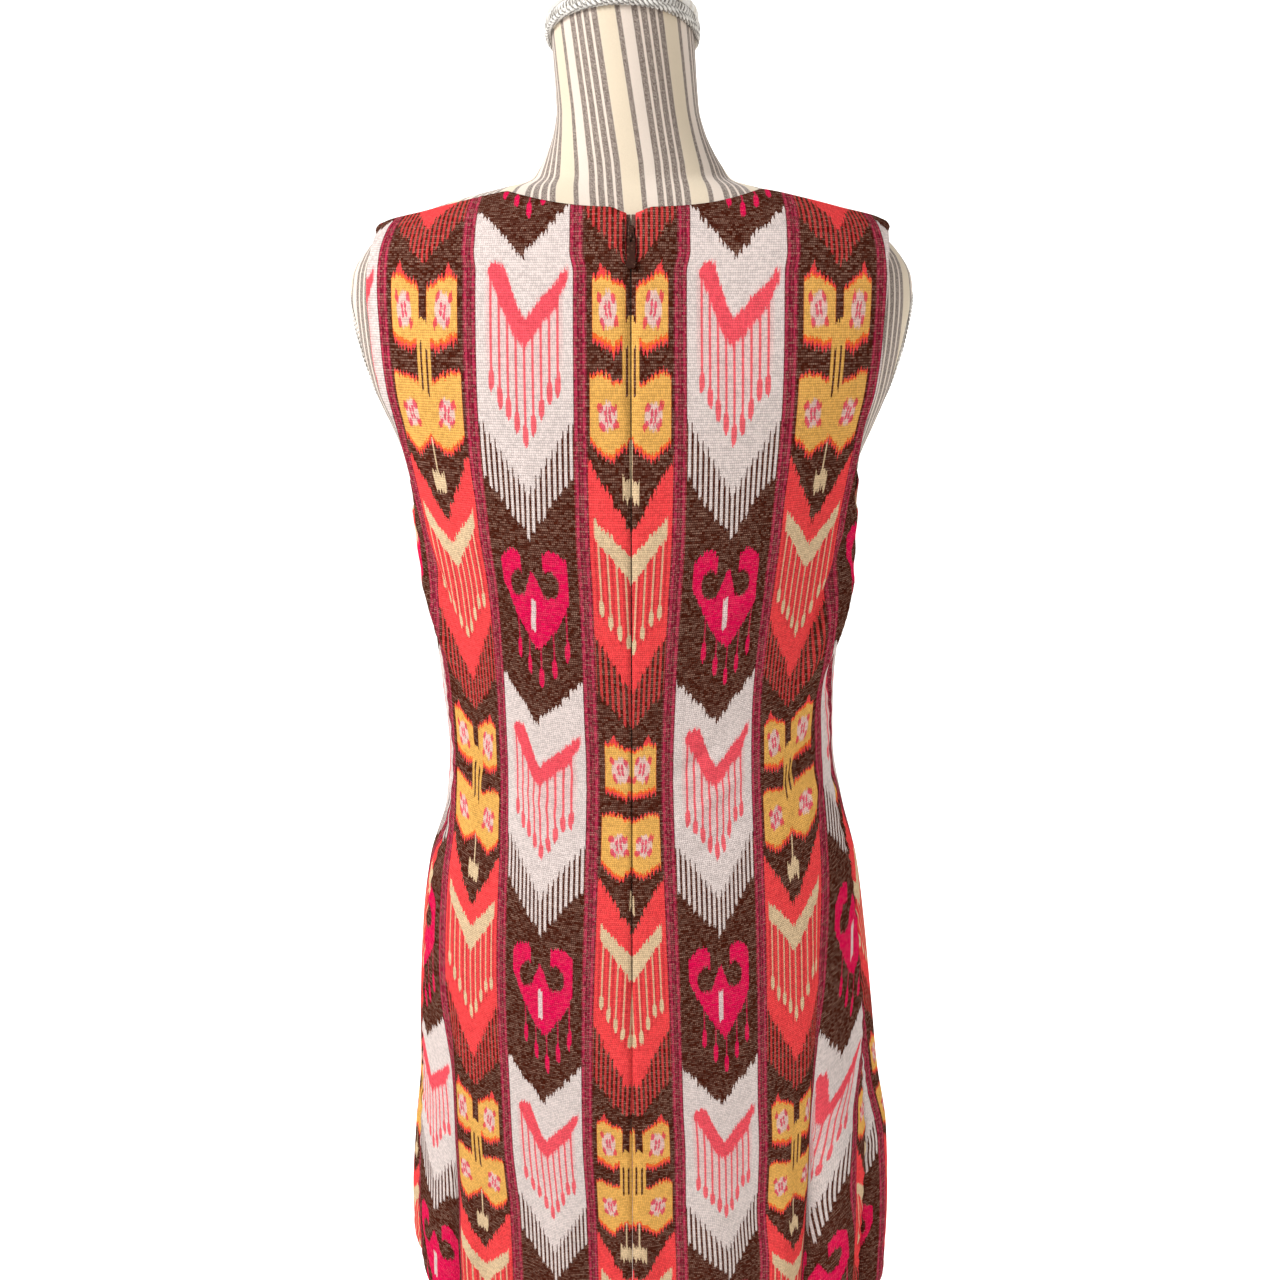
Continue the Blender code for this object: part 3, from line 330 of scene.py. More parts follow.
class SectionedBody:
    """A body given by its level sections, with its normals and the lengths round it."""

    LEVELS = 560
    ANGLES = 361

    def __init__(self, rows: list[tuple[float, ...]]) -> None:
        """Keeps the table.

        Args:
            rows: section rows, from the lowest up.
        """
        self.section = SmoothTable(rows)
        self.lowest, self.highest = rows[0][0], rows[-1][0]
        self._levels = np.linspace(self.lowest, self.highest, self.LEVELS)
        self._angles = np.linspace(0.0, math.pi, self.ANGLES)
        self._lengths: dict[Side, Array] = {}

    def normals(self, points: Array, step: float = 0.0006) -> Array:
        """Unit normals at points on the body, by how its level function grows.

        Args:
            points: the points, in a last axis of three.
            step: how far apart the level function is read.

        Returns:
            The normals, in the same shape.
        """

        def level(x: Array, y: Array, z: Array) -> Array:
            """1 on the body, more outside it and less inside."""
            left, right, back, front, squareness = np.moveaxis(self.section(z), -1, 0)
            half = np.where(x >= 0, left, right)
            depth = np.where(y >= 0, back, front)
            return np.abs(x / half) ** squareness + np.abs(y / depth) ** squareness

        x, y, z = np.moveaxis(points, -1, 0)
        slopes = (
            level(x + step, y, z) - level(x - step, y, z),
            level(x, y + step, z) - level(x, y - step, z),
            level(x, y, z + step) - level(x, y, z - step),
        )
        return unit(np.stack(slopes, axis=-1))

    def length_round(self, side: Side, angle: Array, height: Array) -> Array:
        """Length along a level section from the centre back to an angle.

        Args:
            side: the half that the section is measured on.
            angle: angles round the section in radians, 0 to pi.
            height: heights of the same points.

        Returns:
            The length of each point.
        """
        if side not in self._lengths:
            levels, angles = np.meshgrid(self._levels, self._angles, indexing="ij")
            x, y = section_xy(self.section(levels), side, angles)
            steps = np.hypot(np.diff(x, axis=1), np.diff(y, axis=1))
            self._lengths[side] = np.concatenate([np.zeros((len(x), 1)), np.cumsum(steps, axis=1)], axis=1)
        table = self._lengths[side]
        row = np.clip((height - self.lowest) / (self.highest - self.lowest), 0, 1) * (self.LEVELS - 1.001)
        column = np.clip(angle / math.pi, 0, 1) * (self.ANGLES - 1.001)
        i, j = row.astype(int), column.astype(int)
        r, c = row - i, column - j
        lower = table[i, j] * (1 - c) + table[i, j + 1] * c
        upper = table[i + 1, j] * (1 - c) + table[i + 1, j + 1] * c
        return lower * (1 - r) + upper * r


def fold_lift(rows: list[tuple], signed_degrees: Array, height: Array) -> Array:
    """How far folds lift the cloth.

    Args:
        rows: folds, in the columns of FOLD_ROWS.
        signed_degrees: angles round the dress, above 0 on the wearer's left.
        height: heights of the same points.

    Returns:
        The lift of each point, in metres.
    """
    total = np.zeros_like(height)
    for angle_1, height_1, angle_2, height_2, half_width, depth, grows in rows:
        along = (height_1 - height) / (height_1 - height_2)
        centre = angle_1 + along * (angle_2 - angle_1)
        across = (signed_degrees - centre) / half_width
        inside = np.clip(along, 0, 1)
        strength = ease(inside, 0.0, FULL_FOLD_SHARE) if grows else np.sin(math.pi * inside) ** 2
        strength = np.where((along > 0) & ((along < 1.0001) | grows), strength, 0.0)
        total += depth * strength * np.exp(-across * across)
    return total


# ======== nodes of a material
def linear(hex_colour: str) -> Four:
    """A colour such as "#E04848" as the linear numbers that a shader takes."""
    channels = [int(hex_colour[k : k + 2], 16) / 255 for k in (1, 3, 5)]
    return (*[c / 12.92 if c <= 0.04045 else ((c + 0.055) / 1.055) ** 2.4 for c in channels], 1.0)


# How soft the edge of a mask is where nothing else is said, in the field's own unit.
SOFT_EDGE = 0.7
# A colour as text such as "#E04848", or as the socket of one that varies.
Colour = str | NodeSocket


class Field:
    """A number that varies over a surface, as the end of a chain of Math nodes."""

    def __init__(self, tree: bpy.types.NodeTree, socket: NodeSocket) -> None:
        """Wraps a socket of a node tree."""
        self.tree, self.socket = tree, socket

    def math(self, operation: str, *others: Field | float, clamp: bool = False) -> Field:
        """One more Math node.

        Args:
            operation: the node's operation.
            others: its second and third input, each a field or a number.
            clamp: whether the result is held between 0 and 1.

        Returns:
            The node's result.
        """
        node = self.tree.nodes.new("ShaderNodeMath")
        node.operation = operation
        node.use_clamp = clamp
        self.tree.links.new(self.socket, node.inputs[0])
        for slot, other in enumerate(others, 1):
            if isinstance(other, Field):
                self.tree.links.new(other.socket, node.inputs[slot])
            else:
                node.inputs[slot].default_value = other
        return Field(self.tree, node.outputs[0])

    def __add__(self, other: Field | float) -> Field:
        """The sum."""
        return self.math("ADD", other)

    def __sub__(self, other: Field | float) -> Field:
        """The difference."""
        return self.math("SUBTRACT", other)

    def __rsub__(self, other: float) -> Field:
        """A number less this field."""
        return self.scaled(-1.0, other)

    def __mul__(self, other: Field | float) -> Field:
        """The product."""
        return self.math("MULTIPLY", other)

    __radd__, __rmul__ = __add__, __mul__

    def scaled(self, factor: float, plus: Field | float, clamp: bool = False) -> Field:
        """This times a factor, plus something."""
        return self.math("MULTIPLY_ADD", factor, plus, clamp=clamp)

    def at_least(self, other: Field | float) -> Field:
        """The larger of the two numbers."""
        return self.math("MAXIMUM", other)

    either = at_least

    def size(self) -> Field:
        """The number without its sign."""
        return self.math("ABSOLUTE")

    def nearest(self) -> Field:
        """The nearest whole number."""
        return self.math("ROUND")

    def wrapped(self, low: float, high: float) -> Field:
        """The number brought between low and high by whole repeats."""
        return self.math("WRAP", high, low)

    def above(self, edge: Field | float, soft: float = SOFT_EDGE) -> Field:
        """1 where this is above an edge and 0 where it is below, over a soft width."""
        return (self - edge).scaled(1 / soft, 0.5, clamp=True)

    def below(self, edge: Field | float, soft: float = SOFT_EDGE) -> Field:
        """1 where this is below an edge and 0 where it is above, over a soft width."""
        return (self - edge).scaled(-1 / soft, 0.5, clamp=True)

    def between(self, low: Field | float, high: Field | float, soft: float = SOFT_EDGE) -> Field:
        """1 between two edges."""
        return self.above(low, soft) * self.below(high, soft)


class Maker:
    """Builds the nodes of one material."""

    def __init__(self, name: str) -> None:
        """Makes an empty material of that name."""
        self.material = bpy.data.materials.new(name)
        self.material.use_nodes = True
        self.tree = self.material.node_tree
        self.shader = self.tree.nodes["Principled BSDF"]

    def node(self, kind: str, **settings: object) -> bpy.types.Node:
        """A new node with some of its settings."""
        made = self.tree.nodes.new(kind)
        for name, value in settings.items():
            setattr(made, name, value)
        return made

    def link(self, source: NodeSocket | Field, target: NodeSocket) -> None:
        """Joins two sockets."""
        self.tree.links.new(source.socket if isinstance(source, Field) else source, target)

    def cloth_millimetres(self, layer: str) -> tuple[Field, Field]:
        """The across and down places on the flat cloth, in millimetres."""
        uv = self.node("ShaderNodeUVMap", uv_map=layer)
        parts = self.node("ShaderNodeSeparateXYZ")
        self.link(uv.outputs[0], parts.inputs[0])
        return Field(self.tree, parts.outputs[0]) * 1000.0, Field(self.tree, parts.outputs[1]) * 1000.0

    def point(self) -> NodeSocket:
        """The point on the object, which moves with it."""
        return self.node("ShaderNodeTexCoord").outputs["Object"]

    def pair(self, first: Field, second: Field) -> NodeSocket:
        """Two fields as a vector."""
        joined = self.node("ShaderNodeCombineXYZ")
        self.link(first, joined.inputs[0])
        self.link(second, joined.inputs[1])
        return joined.outputs[0]

    def noise(self, place: NodeSocket, scale: float, detail: float = 2.0) -> Field:
        """A soft noise from 0 to 1."""
        made = self.node("ShaderNodeTexNoise")
        self.link(place, made.inputs["Vector"])
        made.inputs["Scale"].default_value = scale
        made.inputs["Detail"].default_value = detail
        return Field(self.tree, made.outputs[0])

    def dice(self, first: Field, second: Field | None = None) -> Field:
        """An even random number from 0 to 1 for each whole number, or pair of them."""
        if second is None:
            made = self.node("ShaderNodeTexWhiteNoise", noise_dimensions="1D")
            self.link(first, made.inputs["W"])
        else:
            made = self.node("ShaderNodeTexWhiteNoise", noise_dimensions="2D")
            self.link(self.pair(first, second), made.inputs["Vector"])
        return Field(self.tree, made.outputs["Value"])

    def paint(self, colour: Colour, target: NodeSocket) -> None:
        """Gives a socket a plain colour, or joins it to a varying one."""
        if isinstance(colour, str):
            target.default_value = linear(colour)
        else:
            self.link(colour, target)

    def over(self, below: Colour, colour: Colour, mask: Field) -> NodeSocket:
        """Paints a colour over what is there.

        Args:
            below: the colour so far.
            colour: the new colour.
            mask: where it goes, 0 to 1.

        Returns:
            The new colour so far.
        """
        made = self.node("ShaderNodeMix", data_type="RGBA", blend_type="MIX")
        self.link(mask, made.inputs[0])
        self.paint(below, made.inputs[6])
        self.paint(colour, made.inputs[7])
        return made.outputs[2]

    def bump(self, height: Field, distance: float, strength: float) -> None:
        """Raises the surface by a field."""
        made = self.node("ShaderNodeBump")
        made.inputs["Strength"].default_value = strength
        made.inputs["Distance"].default_value = distance
        self.link(height, made.inputs["Height"])
        self.link(made.outputs[0], self.shader.inputs["Normal"])

    def finish(self, colour: Colour, roughness: float, **numbers: float) -> Material:
        """Gives the shader its colour and its constant numbers.

        Args:
            colour: the finished colour.
            roughness: the shader's roughness.
            numbers: other shader inputs by name, with _ for each space.

        Returns:
            The material.
        """
        self.paint(colour, self.shader.inputs["Base Color"])
        self.shader.inputs["Roughness"].default_value = roughness
        for name, value in numbers.items():
            self.shader.inputs[name.replace("_", " ")].default_value = value
        return self.material


# ======== the ikat print
class Dye(str, Enum):
    """The colours of the ikat's threads, as a screen shows them, and of the painted shade of their weave."""

    BROWN = "#461C10"
    MAROON = "#6C1828"
    CRIMSON = "#DC0F4E"
    CORAL = "#EE4648"
    DEEP_CORAL = "#B42C32"
    RED = "#EC525E"
    YELLOW = "#E3AB58"
    ORANGE = "#EE6A2C"
    PALE = "#DCCDC8"
    CREAM = "#D9BC96"
    STRIPE = "#C03654"
    BLUSH = "#E0BEBC"
    FLECK = "#E8BFA8"
    # SHADOW is no dye: it is the colour of the painted shade that darkens the weave between the threads.
    SHADOW = "#120606"


@dataclass(frozen=True)
class ColumnPlace:
    """Where the points of the cloth lie in their column of the print, in millimetres of flat cloth.

    from_middle is above 0 towards the wearer's left, and aside is its size. down includes the slip of
    the point's bundle of threads, calm has most of it taken back, and rising has the rows' rise to
    the sides. point is 1 at a bundle's middle and 0 between bundles.
    """

    maker: Maker
    across: Field
    from_middle: Field
    aside: Field
    bundle_aside: Field
    rising: Field
    down: Field
    calm: Field
    slip: Field
    point: Field

    def spikes(self, down: Field, reach: float) -> tuple[Field, Field]:
        """A place down, brought forward and held back by the spike of each bundle."""
        return down + self.point * reach, down - self.point * reach

    def ellipse(self, across: Field, down: Field, x: float, y: float, half: float, reach: float) -> Field:
        """1 inside an ellipse round a point, with its half sizes across and down."""
        dx, dy = (across - x) * (1 / half), (down - y) * (1 / reach)
        return (dx * dx + dy * dy).below(1.0, 0.35)

    def over(self, below: Colour, dye: Dye, mask: Field) -> NodeSocket:
        """Dyes what is there where a mask says."""
        return self.maker.over(below, dye, mask)


@dataclass(frozen=True)
class Drips:
    """A row of thin lines that end in drops, the outer ones sooner than the middle one.

    last is how many stand on each side of the middle one and a little more, longest where the
    middle one ends, and slope how much sooner the others end for their distance from it.
    """

    pitch: float
    last: float
    longest: float
    slope: float
    drop_length: float
    drop_half: float
    spread: float = 6.0
    drop_rise: float = 0.42
    drop_roundness: float = 13.0

    def masks(self, maker: Maker, across: Field, down: Field) -> tuple[Field, Field, Field]:
        """The parts of the row.

        Args:
            maker: the material's builder.
            across: place across the column.
            down: place down the column.

        Returns:
            The distance from the nearest line, and the masks of the lines' reach and of the drops.
        """
        steps = across * (1 / self.pitch)
        number = steps.nearest()
        off = (steps - number).size() * self.pitch
        ends = number.size() * (-self.slope * self.pitch) + self.longest
        ends = ends + maker.dice(number + 7.0) * self.spread - self.spread / 2
        along = (down - ends) * (1 / self.drop_length) + self.drop_rise
        square = along * along
        width = (1.0 - square * square * self.drop_roundness) * self.drop_half
        shown = number.size().below(self.last, 0.1)
        return off, down.below(ends - 2.0) * shown, off.below(width) * shown


@dataclass(frozen=True)
class PaleChevron:
    """The pale ground of a column, down to a comb of pale teeth between brown gaps."""

    top: float = 4.0
    spike: float = 2.8
    tooth_pitch: float = 3.7
    tooth_half_share: float = 0.27
    teeth_start: float = 161.0
    start_slope: float = 1.7
    teeth_end: float = 189.0
    end_slope: float = 1.4
    end_spread: float = 5.0
    gaps_end: float = 204.0

    def dye(self, place: ColumnPlace, colour: Colour) -> Colour:
        """Dyes the ground and its comb.

        Args:
            place: where the points lie.
            colour: the colour so far.

        Returns:
            The colour with the chevron.
        """
        steps = place.from_middle * (1 / self.tooth_pitch)
        tooth = steps.nearest()
        off_tooth = (steps - tooth).size() * self.tooth_pitch
        aside, even = tooth.size() * self.tooth_pitch, place.down - place.slip
        ends = place.maker.dice(tooth + 3.0) * self.end_spread + self.teeth_end - aside * self.end_slope
        ground = (place.rising + place.point * self.spike).above(self.top) * even.below(ends, 1.5)
        colour = place.over(colour, Dye.PALE, ground)
        gaps = off_tooth.above(self.tooth_pitch * self.tooth_half_share, 0.5)
        gaps = gaps * even.above(self.teeth_start - aside * self.start_slope, 1.5)
        return place.over(colour, Dye.BROWN, gaps * place.down.below(self.gaps_end))


@dataclass(frozen=True)
class RedArms:
    """Two red arms that meet in a point over a row of drips; the left one ends in a round hand.

    Slopes are how much each edge rises for each millimetre from the middle: on both sides, how much
    more on the wearer's left, and how much more there beyond the bend.
    """

    upper_tip: float = 44.3
    upper_slopes: Three = (1.22, 0.9, 0.95)
    upper_bend: float = 4.4
    lower_tip: float = 61.5
    lower_slopes: Three = (1.25, 0.2, 1.5)
    lower_bend: float = 6.9
    thin_from: float = 21.0
    thin_slope: float = 1.3
    least_upper: Pair = (47.0, 40.0)
    reach: float = 28.3
    left_shorter: float = 7.5
    spike: float = 1.3
    soft: float = 2.4
    run: float = 7.0
    run_strength: float = 0.3
    hand: Four = (18.6, 12.0, 4.9, 7.0)
    blush_end: float = 108.0
    blush_slope: float = 1.5
    blush_reach: float = 25.0
    blush_fade: float = 26.0
    blush_strength: float = 0.16
    drips: Drips = Drips(5.4, 4.4, 125.0, 1.55, 15.0, 1.9)

    def dye(self, place: ColumnPlace, colour: Colour) -> Colour:
        """Dyes the blush between the drips, the drips, the run of the dye and the arms.

        Args:
            place: where the points lie.
            colour: the colour so far.

        Returns:
            The colour with the arms.
        """
        aside, calm = place.aside, place.calm
        left = place.from_middle.above(0.0, 0.1)
        both, more, bent = self.upper_slopes
        upper = self.upper_tip - aside * (left * more + both)
        upper = upper - (aside - self.upper_bend).at_least(0.0) * left * bent
        both, less, bent = self.lower_slopes
        lower = self.lower_tip - aside * (both - left * less)
        lower = lower - (aside - self.lower_bend).at_least(0.0) * left * bent
        lower = lower - (aside - self.thin_from).at_least(0.0) * (1.0 - left) * self.thin_slope
        blush = calm.above(lower) * place.down.below(
            self.blush_end - place.bundle_aside * self.blush_slope, self.blush_fade
        )
        colour = place.over(colour, Dye.RED, blush * aside.below(self.blush_reach, 2.0) * self.blush_strength)
        off, reach, drops = self.drips.masks(place.maker, place.from_middle, calm)
        least_left, least_right = self.least_upper
        upper = upper.at_least(left * least_left - least_right)
        lines = off.below(0.8, 0.6) * place.down.above(upper + 4.0) * reach
        colour = place.over(colour, Dye.RED, lines.either(drops) * 0.93)
        run = calm.above(upper - 1.0, self.run) * calm.below(lower + 2.0, self.run)
        run = run * aside.below(self.reach + 0.7 - left * self.left_shorter, 3.0)
        colour = place.over(colour, Dye.RED, run * self.run_strength)
        early, late = place.spikes(calm, self.spike)
        arms = early.above(upper, self.soft) * late.below(lower, self.soft)
        arms = arms * aside.below(self.reach - left * self.left_shorter, 1.8)
        hand = place.ellipse(place.from_middle, calm, *self.hand)
        return place.over(colour, Dye.RED, arms.either(hand))


@dataclass(frozen=True)
class CrimsonHorns:
    """A crimson shield with two horns curled over round holes, a pale slit and a few drips."""

    top: float = 202.5
    top_at: float = 14.5
    top_curve: float = 0.09
    tip: float = 286.0
    tip_aside: float = 3.0
    side_slope: float = 1.62
    bend: float = 14.0
    bend_slope: float = 0.9
    half: float = 24.4
    hole: Four = (11.8, 230.0, 6.4, 11.5)
    cleft_half: float = 8.0
    cleft_top: float = 217.0
    cleft_slope: float = 0.33
    slit_half: float = 1.8
    slit: Pair = (243.0, 268.0)
    spike: float = 1.3
    drip_aside: float = 4.4
    drops_from: float = 262.0
    drips: Drips = Drips(8.9, 2.4, 318.0, 1.45, 17.0, 1.75)

    def dye(self, place: ColumnPlace, colour: Colour) -> Colour:
        """Dyes the shield with its drips, and the slit.

        Args:
            place: where the points lie.
            colour: the colour so far.

        Returns:
            The colour with the shield.
        """
        aside, calm = place.aside, place.calm
        early, late = place.spikes(calm, self.spike)
        tops = (aside - self.top_at) * (aside - self.top_at) * self.top_curve + self.top
        from_tip = (place.from_middle + self.tip_aside).size()
        ends = self.tip - from_tip * self.side_slope - (from_tip - self.bend).at_least(0.0) * self.bend_slope
        shield = early.above(tops) * late.below(ends) * aside.below(self.half)
        cleft = aside.below(self.cleft_half) * aside.above((calm - self.cleft_top) * self.cleft_slope)
        shield = shield * (1.0 - place.ellipse(aside, calm, *self.hole).either(cleft))
        off, reach, drops = self.drips.masks(place.maker, place.from_middle + self.drip_aside, calm)
        lines = off.below(0.6, 0.5) * place.down.above(ends - 2.0) * reach * 0.6
        drips = (drops * place.down.above(self.drops_from)).either(lines)
        colour = place.over(colour, Dye.CRIMSON, shield.either(drips))
        slit_top, slit_end = self.slit
        slit = aside.below(self.slit_half) * early.above(slit_top) * late.below(slit_end)
        return place.over(colour, Dye.PALE, slit * 0.9)


@dataclass(frozen=True)
class CoralArrow:
    """A coral arrow head with a fringe, darker ribs, a cream chevron and cream drips.

    Each edge is given by its place at the middle and how much it rises for each millimetre aside.
    """

    top: Pair = (188.0, 1.85)
    end: Pair = (326.0, 2.15)
    spike: float = 2.8
    fringe_end: Pair = (360.0, 1.5)
    rib_spacing: float = 1.75
    ribs_top: Pair = (226.0, 1.5)
    ribs_end: Pair = (292.0, 1.6)
    chevron_top: Pair = (206.0, 1.2)
    chevron_end: Pair = (226.5, 1.56)
    chevron_half: float = 24.5
    lines_top: Pair = (212.0, 1.4)
    drops_from: float = 205.0
    drips: Drips = Drips(5.5, 4.4, 288.0, 1.6, 13.0, 1.6)

    def dye(self, place: ColumnPlace, colour: Colour) -> Colour:
        """Dyes the fringe, the head, its ribs, and the cream chevron with its drips.

        Args:
            place: where the points lie.
            colour: the colour so far.

        Returns:
            The colour with the arrow head.
        """
        down, calm, bundle = place.down, place.calm, place.bundle_aside

        def level(edge: Pair, aside: Field = bundle) -> Field:
            """Where an edge lies at each place aside."""
            return edge[0] - aside * edge[1]

        ends, spacing = level(self.end), self.rib_spacing
        fringe = place.across.wrapped(-spacing, spacing).size().below(0.85, 0.6) * down.above(ends - 4.0)
        fringe = fringe * down.below(level(self.fringe_end), 5.0)
        colour = place.over(colour, Dye.CORAL, fringe * 0.62)
        early, late = place.spikes(down, self.spike)
        head = early.above(level(self.top)) * late.below(ends)
        colour = place.over(colour, Dye.CORAL, head)
        ribs = place.across.wrapped(-spacing, spacing).size().below(0.8, 0.6)
        ribs = ribs * down.above(level(self.ribs_top)) * down.below(level(self.ribs_end), 6.0) * head
        colour = place.over(colour, Dye.DEEP_CORAL, ribs * 0.6)
        off, reach, drops = self.drips.masks(place.maker, place.from_middle, calm)
        lines = off.below(0.62, 0.5) * down.above(level(self.lines_top)) * reach * 0.8
        early, late = place.spikes(calm, 2.0)
        top, end = level(self.chevron_top, place.aside), level(self.chevron_end, place.aside)
        chevron = early.above(top) * late.below(end)
        cream = (chevron * place.aside.below(self.chevron_half, 1.2)).either(lines)
        return place.over(colour, Dye.CREAM, cream.either(drops * down.above(self.drops_from)))


@dataclass(frozen=True)
class Flower:
    """One yellow double flower: its upper and lower edge, its petals' reach and its hearts.

    An edge is given by its place, where it lies nearest the middle of the flower, how much it
    leaves that for each millimetre, and how much further it lies in the dyes under the yellow.
    """

    top: Four
    end: Four
    inner: float
    outer: float
    heart: float
    heart_reach: float
    speck: float


@dataclass(frozen=True)
class YellowFlowers:
    """Two yellow double flowers with orange and coral flame edges, on a stem with a tassel."""

    flowers: tuple[Flower, Flower] = (
        Flower((16.0, 18.0, 0.62, 0.55), (59.0, 11.0, 0.5, 1.0), 3.0, 24.0, 38.0, 12.0, 1.5),
        Flower((81.0, 21.0, 0.38, 0.35), (133.0, 13.0, 0.95, 0.6), 0.0, 25.8, 107.0, 9.5, 2.1),
    )
    edges: tuple[tuple[Dye, float], ...] = ((Dye.CORAL, 3.8), (Dye.ORANGE, 1.9), (Dye.YELLOW, 0.0))
    flame_at: float = 18.0
    flame_top: float = 5.5
    flame_slope: float = 3.0
    flame_end: float = 20.0
    stem_half: float = 5.0
    stem: Pair = (44.0, 92.0)
    stem_line_at: float = 2.1
    stem_lines: Pair = (62.0, 94.0)
    spike: float = 2.8
    heart_at: float = 14.3
    heart_lean: float = 0.12
    thread: Pair = (124.0, 150.0)
    tassel_half: float = 5.4
    tassel: Pair = (150.5, 161.0)

    def dye(self, place: ColumnPlace, colour: Colour) -> Colour:
        """Dyes the flowers, the stem, the hearts and the tassel.

        Args:
            place: where the points lie.
            colour: the colour so far.

        Returns:
            The colour with the flowers.
        """
        aside, down, calm = place.aside, place.down, place.calm
        masks = []
        for flower in self.flowers:
            top, top_at, top_slope, _ = flower.top
            end, end_at, end_slope, _ = flower.end
            petals = aside.between(flower.inner, flower.outer) if flower.inner else aside.below(flower.outer)
            tops = (aside - top_at).size() * top_slope + top
            masks.append((tops, end - (aside - end_at).size() * end_slope, petals))
        for dye, grow in self.edges:
            early, late = calm + place.point * (0.8 + grow * 0.7), calm - place.point * (0.8 + grow * 1.1)
            one, two = (
                early.above(tops - grow * flower.top[3]) * late.below(ends + grow * flower.end[3]) * petals
                for flower, (tops, ends, petals) in zip(self.flowers, masks)
            )
            colour = place.over(colour, dye, one.either(two))
            if dye is Dye.CORAL:
                flame = calm.above((aside - self.flame_at).size() * self.flame_slope + self.flame_top)
                colour = place.over(colour, dye, flame * calm.below(self.flame_end) * 0.9)
        colour = place.over(colour, Dye.YELLOW, aside.below(self.stem_half) * down.between(*self.stem))
        early = down + place.point * self.spike
        lines = (aside - self.stem_line_at).size().below(0.75, 0.5) * early.between(*self.stem_lines)
        colour = place.over(colour, Dye.BROWN, lines)
        for flower in self.flowers:
            colour = self._heart(place, colour, flower.heart, flower.heart_reach, flower.speck)
        thread = aside.below(0.6, 0.4) * down.between(*self.thread)
        top, end = self.tassel
        tassel = aside.below(self.tassel_half) * (down + place.point * 3.0).above(top)
        tassel = tassel * (down - place.point * 4.0).below(end)
        return place.over(colour, Dye.CREAM, thread.either(tassel))

    def _heart(self, place: ColumnPlace, colour: Colour, middle: float, reach: float, speck: float) -> Colour:
        """Dyes a pale heart in each petal, with crimson specks round it and two in it."""
        heart = place.ellipse(place.aside, place.calm, self.heart_at, middle, 5.2 + speck * 0.3, reach)
        colour = place.over(colour, Dye.BLUSH, heart * 0.85)
        side = (place.aside - self.heart_at + (place.calm - middle) * self.heart_lean).size()
        level = (place.calm - middle).size()
        specks = place.ellipse(side, level, 4.4, reach - 3.6, speck, 5.6 - speck * 1.2)
        specks = specks.either(place.ellipse(side, level, 1.2, 2.6, 1.0, 2.6))
        return place.over(colour, Dye.CRIMSON, specks * 0.8)


@dataclass(frozen=True)
class WarpStripes:
    """The narrow maroon warp stripes between the columns, with a few lighter dashed threads."""

    low: float = 27.6
    high: float = 36.5
    low_thread: float = 2.0
    high_thread: float = 1.6
    dash_share: float = 0.22

    def dye(self, maker: Maker, colour: Colour, from_dark: Field, across: Field, down: Field) -> Colour:
        """Dyes the stripes; from_dark is the distance from the middle of the nearest dark column."""
        colour = maker.over(colour, Dye.MAROON, from_dark.between(self.low, self.high, 0.5))
        dashes = maker.dice((across * 0.7).nearest(), (down * 0.42).nearest()).above(self.dash_share, 0.5)
        threads = (from_dark - (self.low + self.low_thread)).size().below(0.95, 0.6)
        threads = threads.either((from_dark - (self.high - self.high_thread)).size().below(0.95, 0.6))
        threads = threads.either((from_dark - (self.low + self.high) / 2).size().below(0.6, 0.6) * 0.5)
        return maker.over(colour, Dye.STRIPE, threads * dashes * 0.85)


@dataclass(frozen=True)
class SlubbyWeave:
    """Plain weave with slubs: thread tones, painted shade between threads, and pale weft flecks on the dark
    ground.
    """

    warp_pitch: float = 1.5
    weft_pitch: float = 1.75
    dash: float = 2.1
    stagger: float = 0.8
    slub_across: float = 0.06
    slub_down: float = 0.55
    fleck_on_dark: float = 0.25
    fleck_on_light: float = 0.05

    def weave(self, maker: Maker, colour: Colour, across: Field, down: Field) -> tuple[Colour, Field]:
        """Weaves the printed colour and darkens it with painted shade between the threads.

        Args:
            maker: the material's builder.
            colour: the printed colour.
            across: place across the cloth.
            down: place down the cloth.

        Returns:
            The colour, with its weave and painted shade between the threads, and the height of the weave.
        """
        weft = down * (1 / self.weft_pitch)
        row = weft.nearest()
        shifted = across * (1 / self.warp_pitch) + maker.dice(row) * self.stagger
        thread = shifted.nearest()
        crown = 1.0 - (shifted - thread).size() * 2.0
        ridge = 1.0 - (weft - row).size() * 2.0
        grain = maker.dice(thread, row)
        dash = maker.dice((across * (1 / self.dash) + maker.dice(row + 3.0)).nearest(), row)
        slub = maker.noise(maker.pair(across * self.slub_across, down * self.slub_down), 1.0, 2.0)
        grey = maker.node("ShaderNodeRGBToBW")
        maker.link(colour, grey.inputs[0])
        dark_ground = Field(maker.tree, grey.outputs[0]).below(0.13, 0.12)
        fleck = dash.above(0.55, 0.9) * slub.above(0.38, 0.4) * ridge.above(0.35, 0.6) * (crown * 0.6 + 0.45)
        fleck = fleck * (dark_ground * self.fleck_on_dark + self.fleck_on_light)
        colour = maker.over(colour, Dye.FLECK, fleck)
        # Painted shade: darker at each thread's edges and between the weft rows, mixed with each thread's and
        # slub's own random tone.
        shade = grain * 0.26 + slub * 0.2 + crown * 0.25 + ridge * 0.33
        woven_and_shaded = maker.over(colour, Dye.SHADOW, shade.scaled(-0.95, 0.68, clamp=True))
        return woven_and_shaded, ridge * 0.8 + crown * 0.4 + slub * 0.6


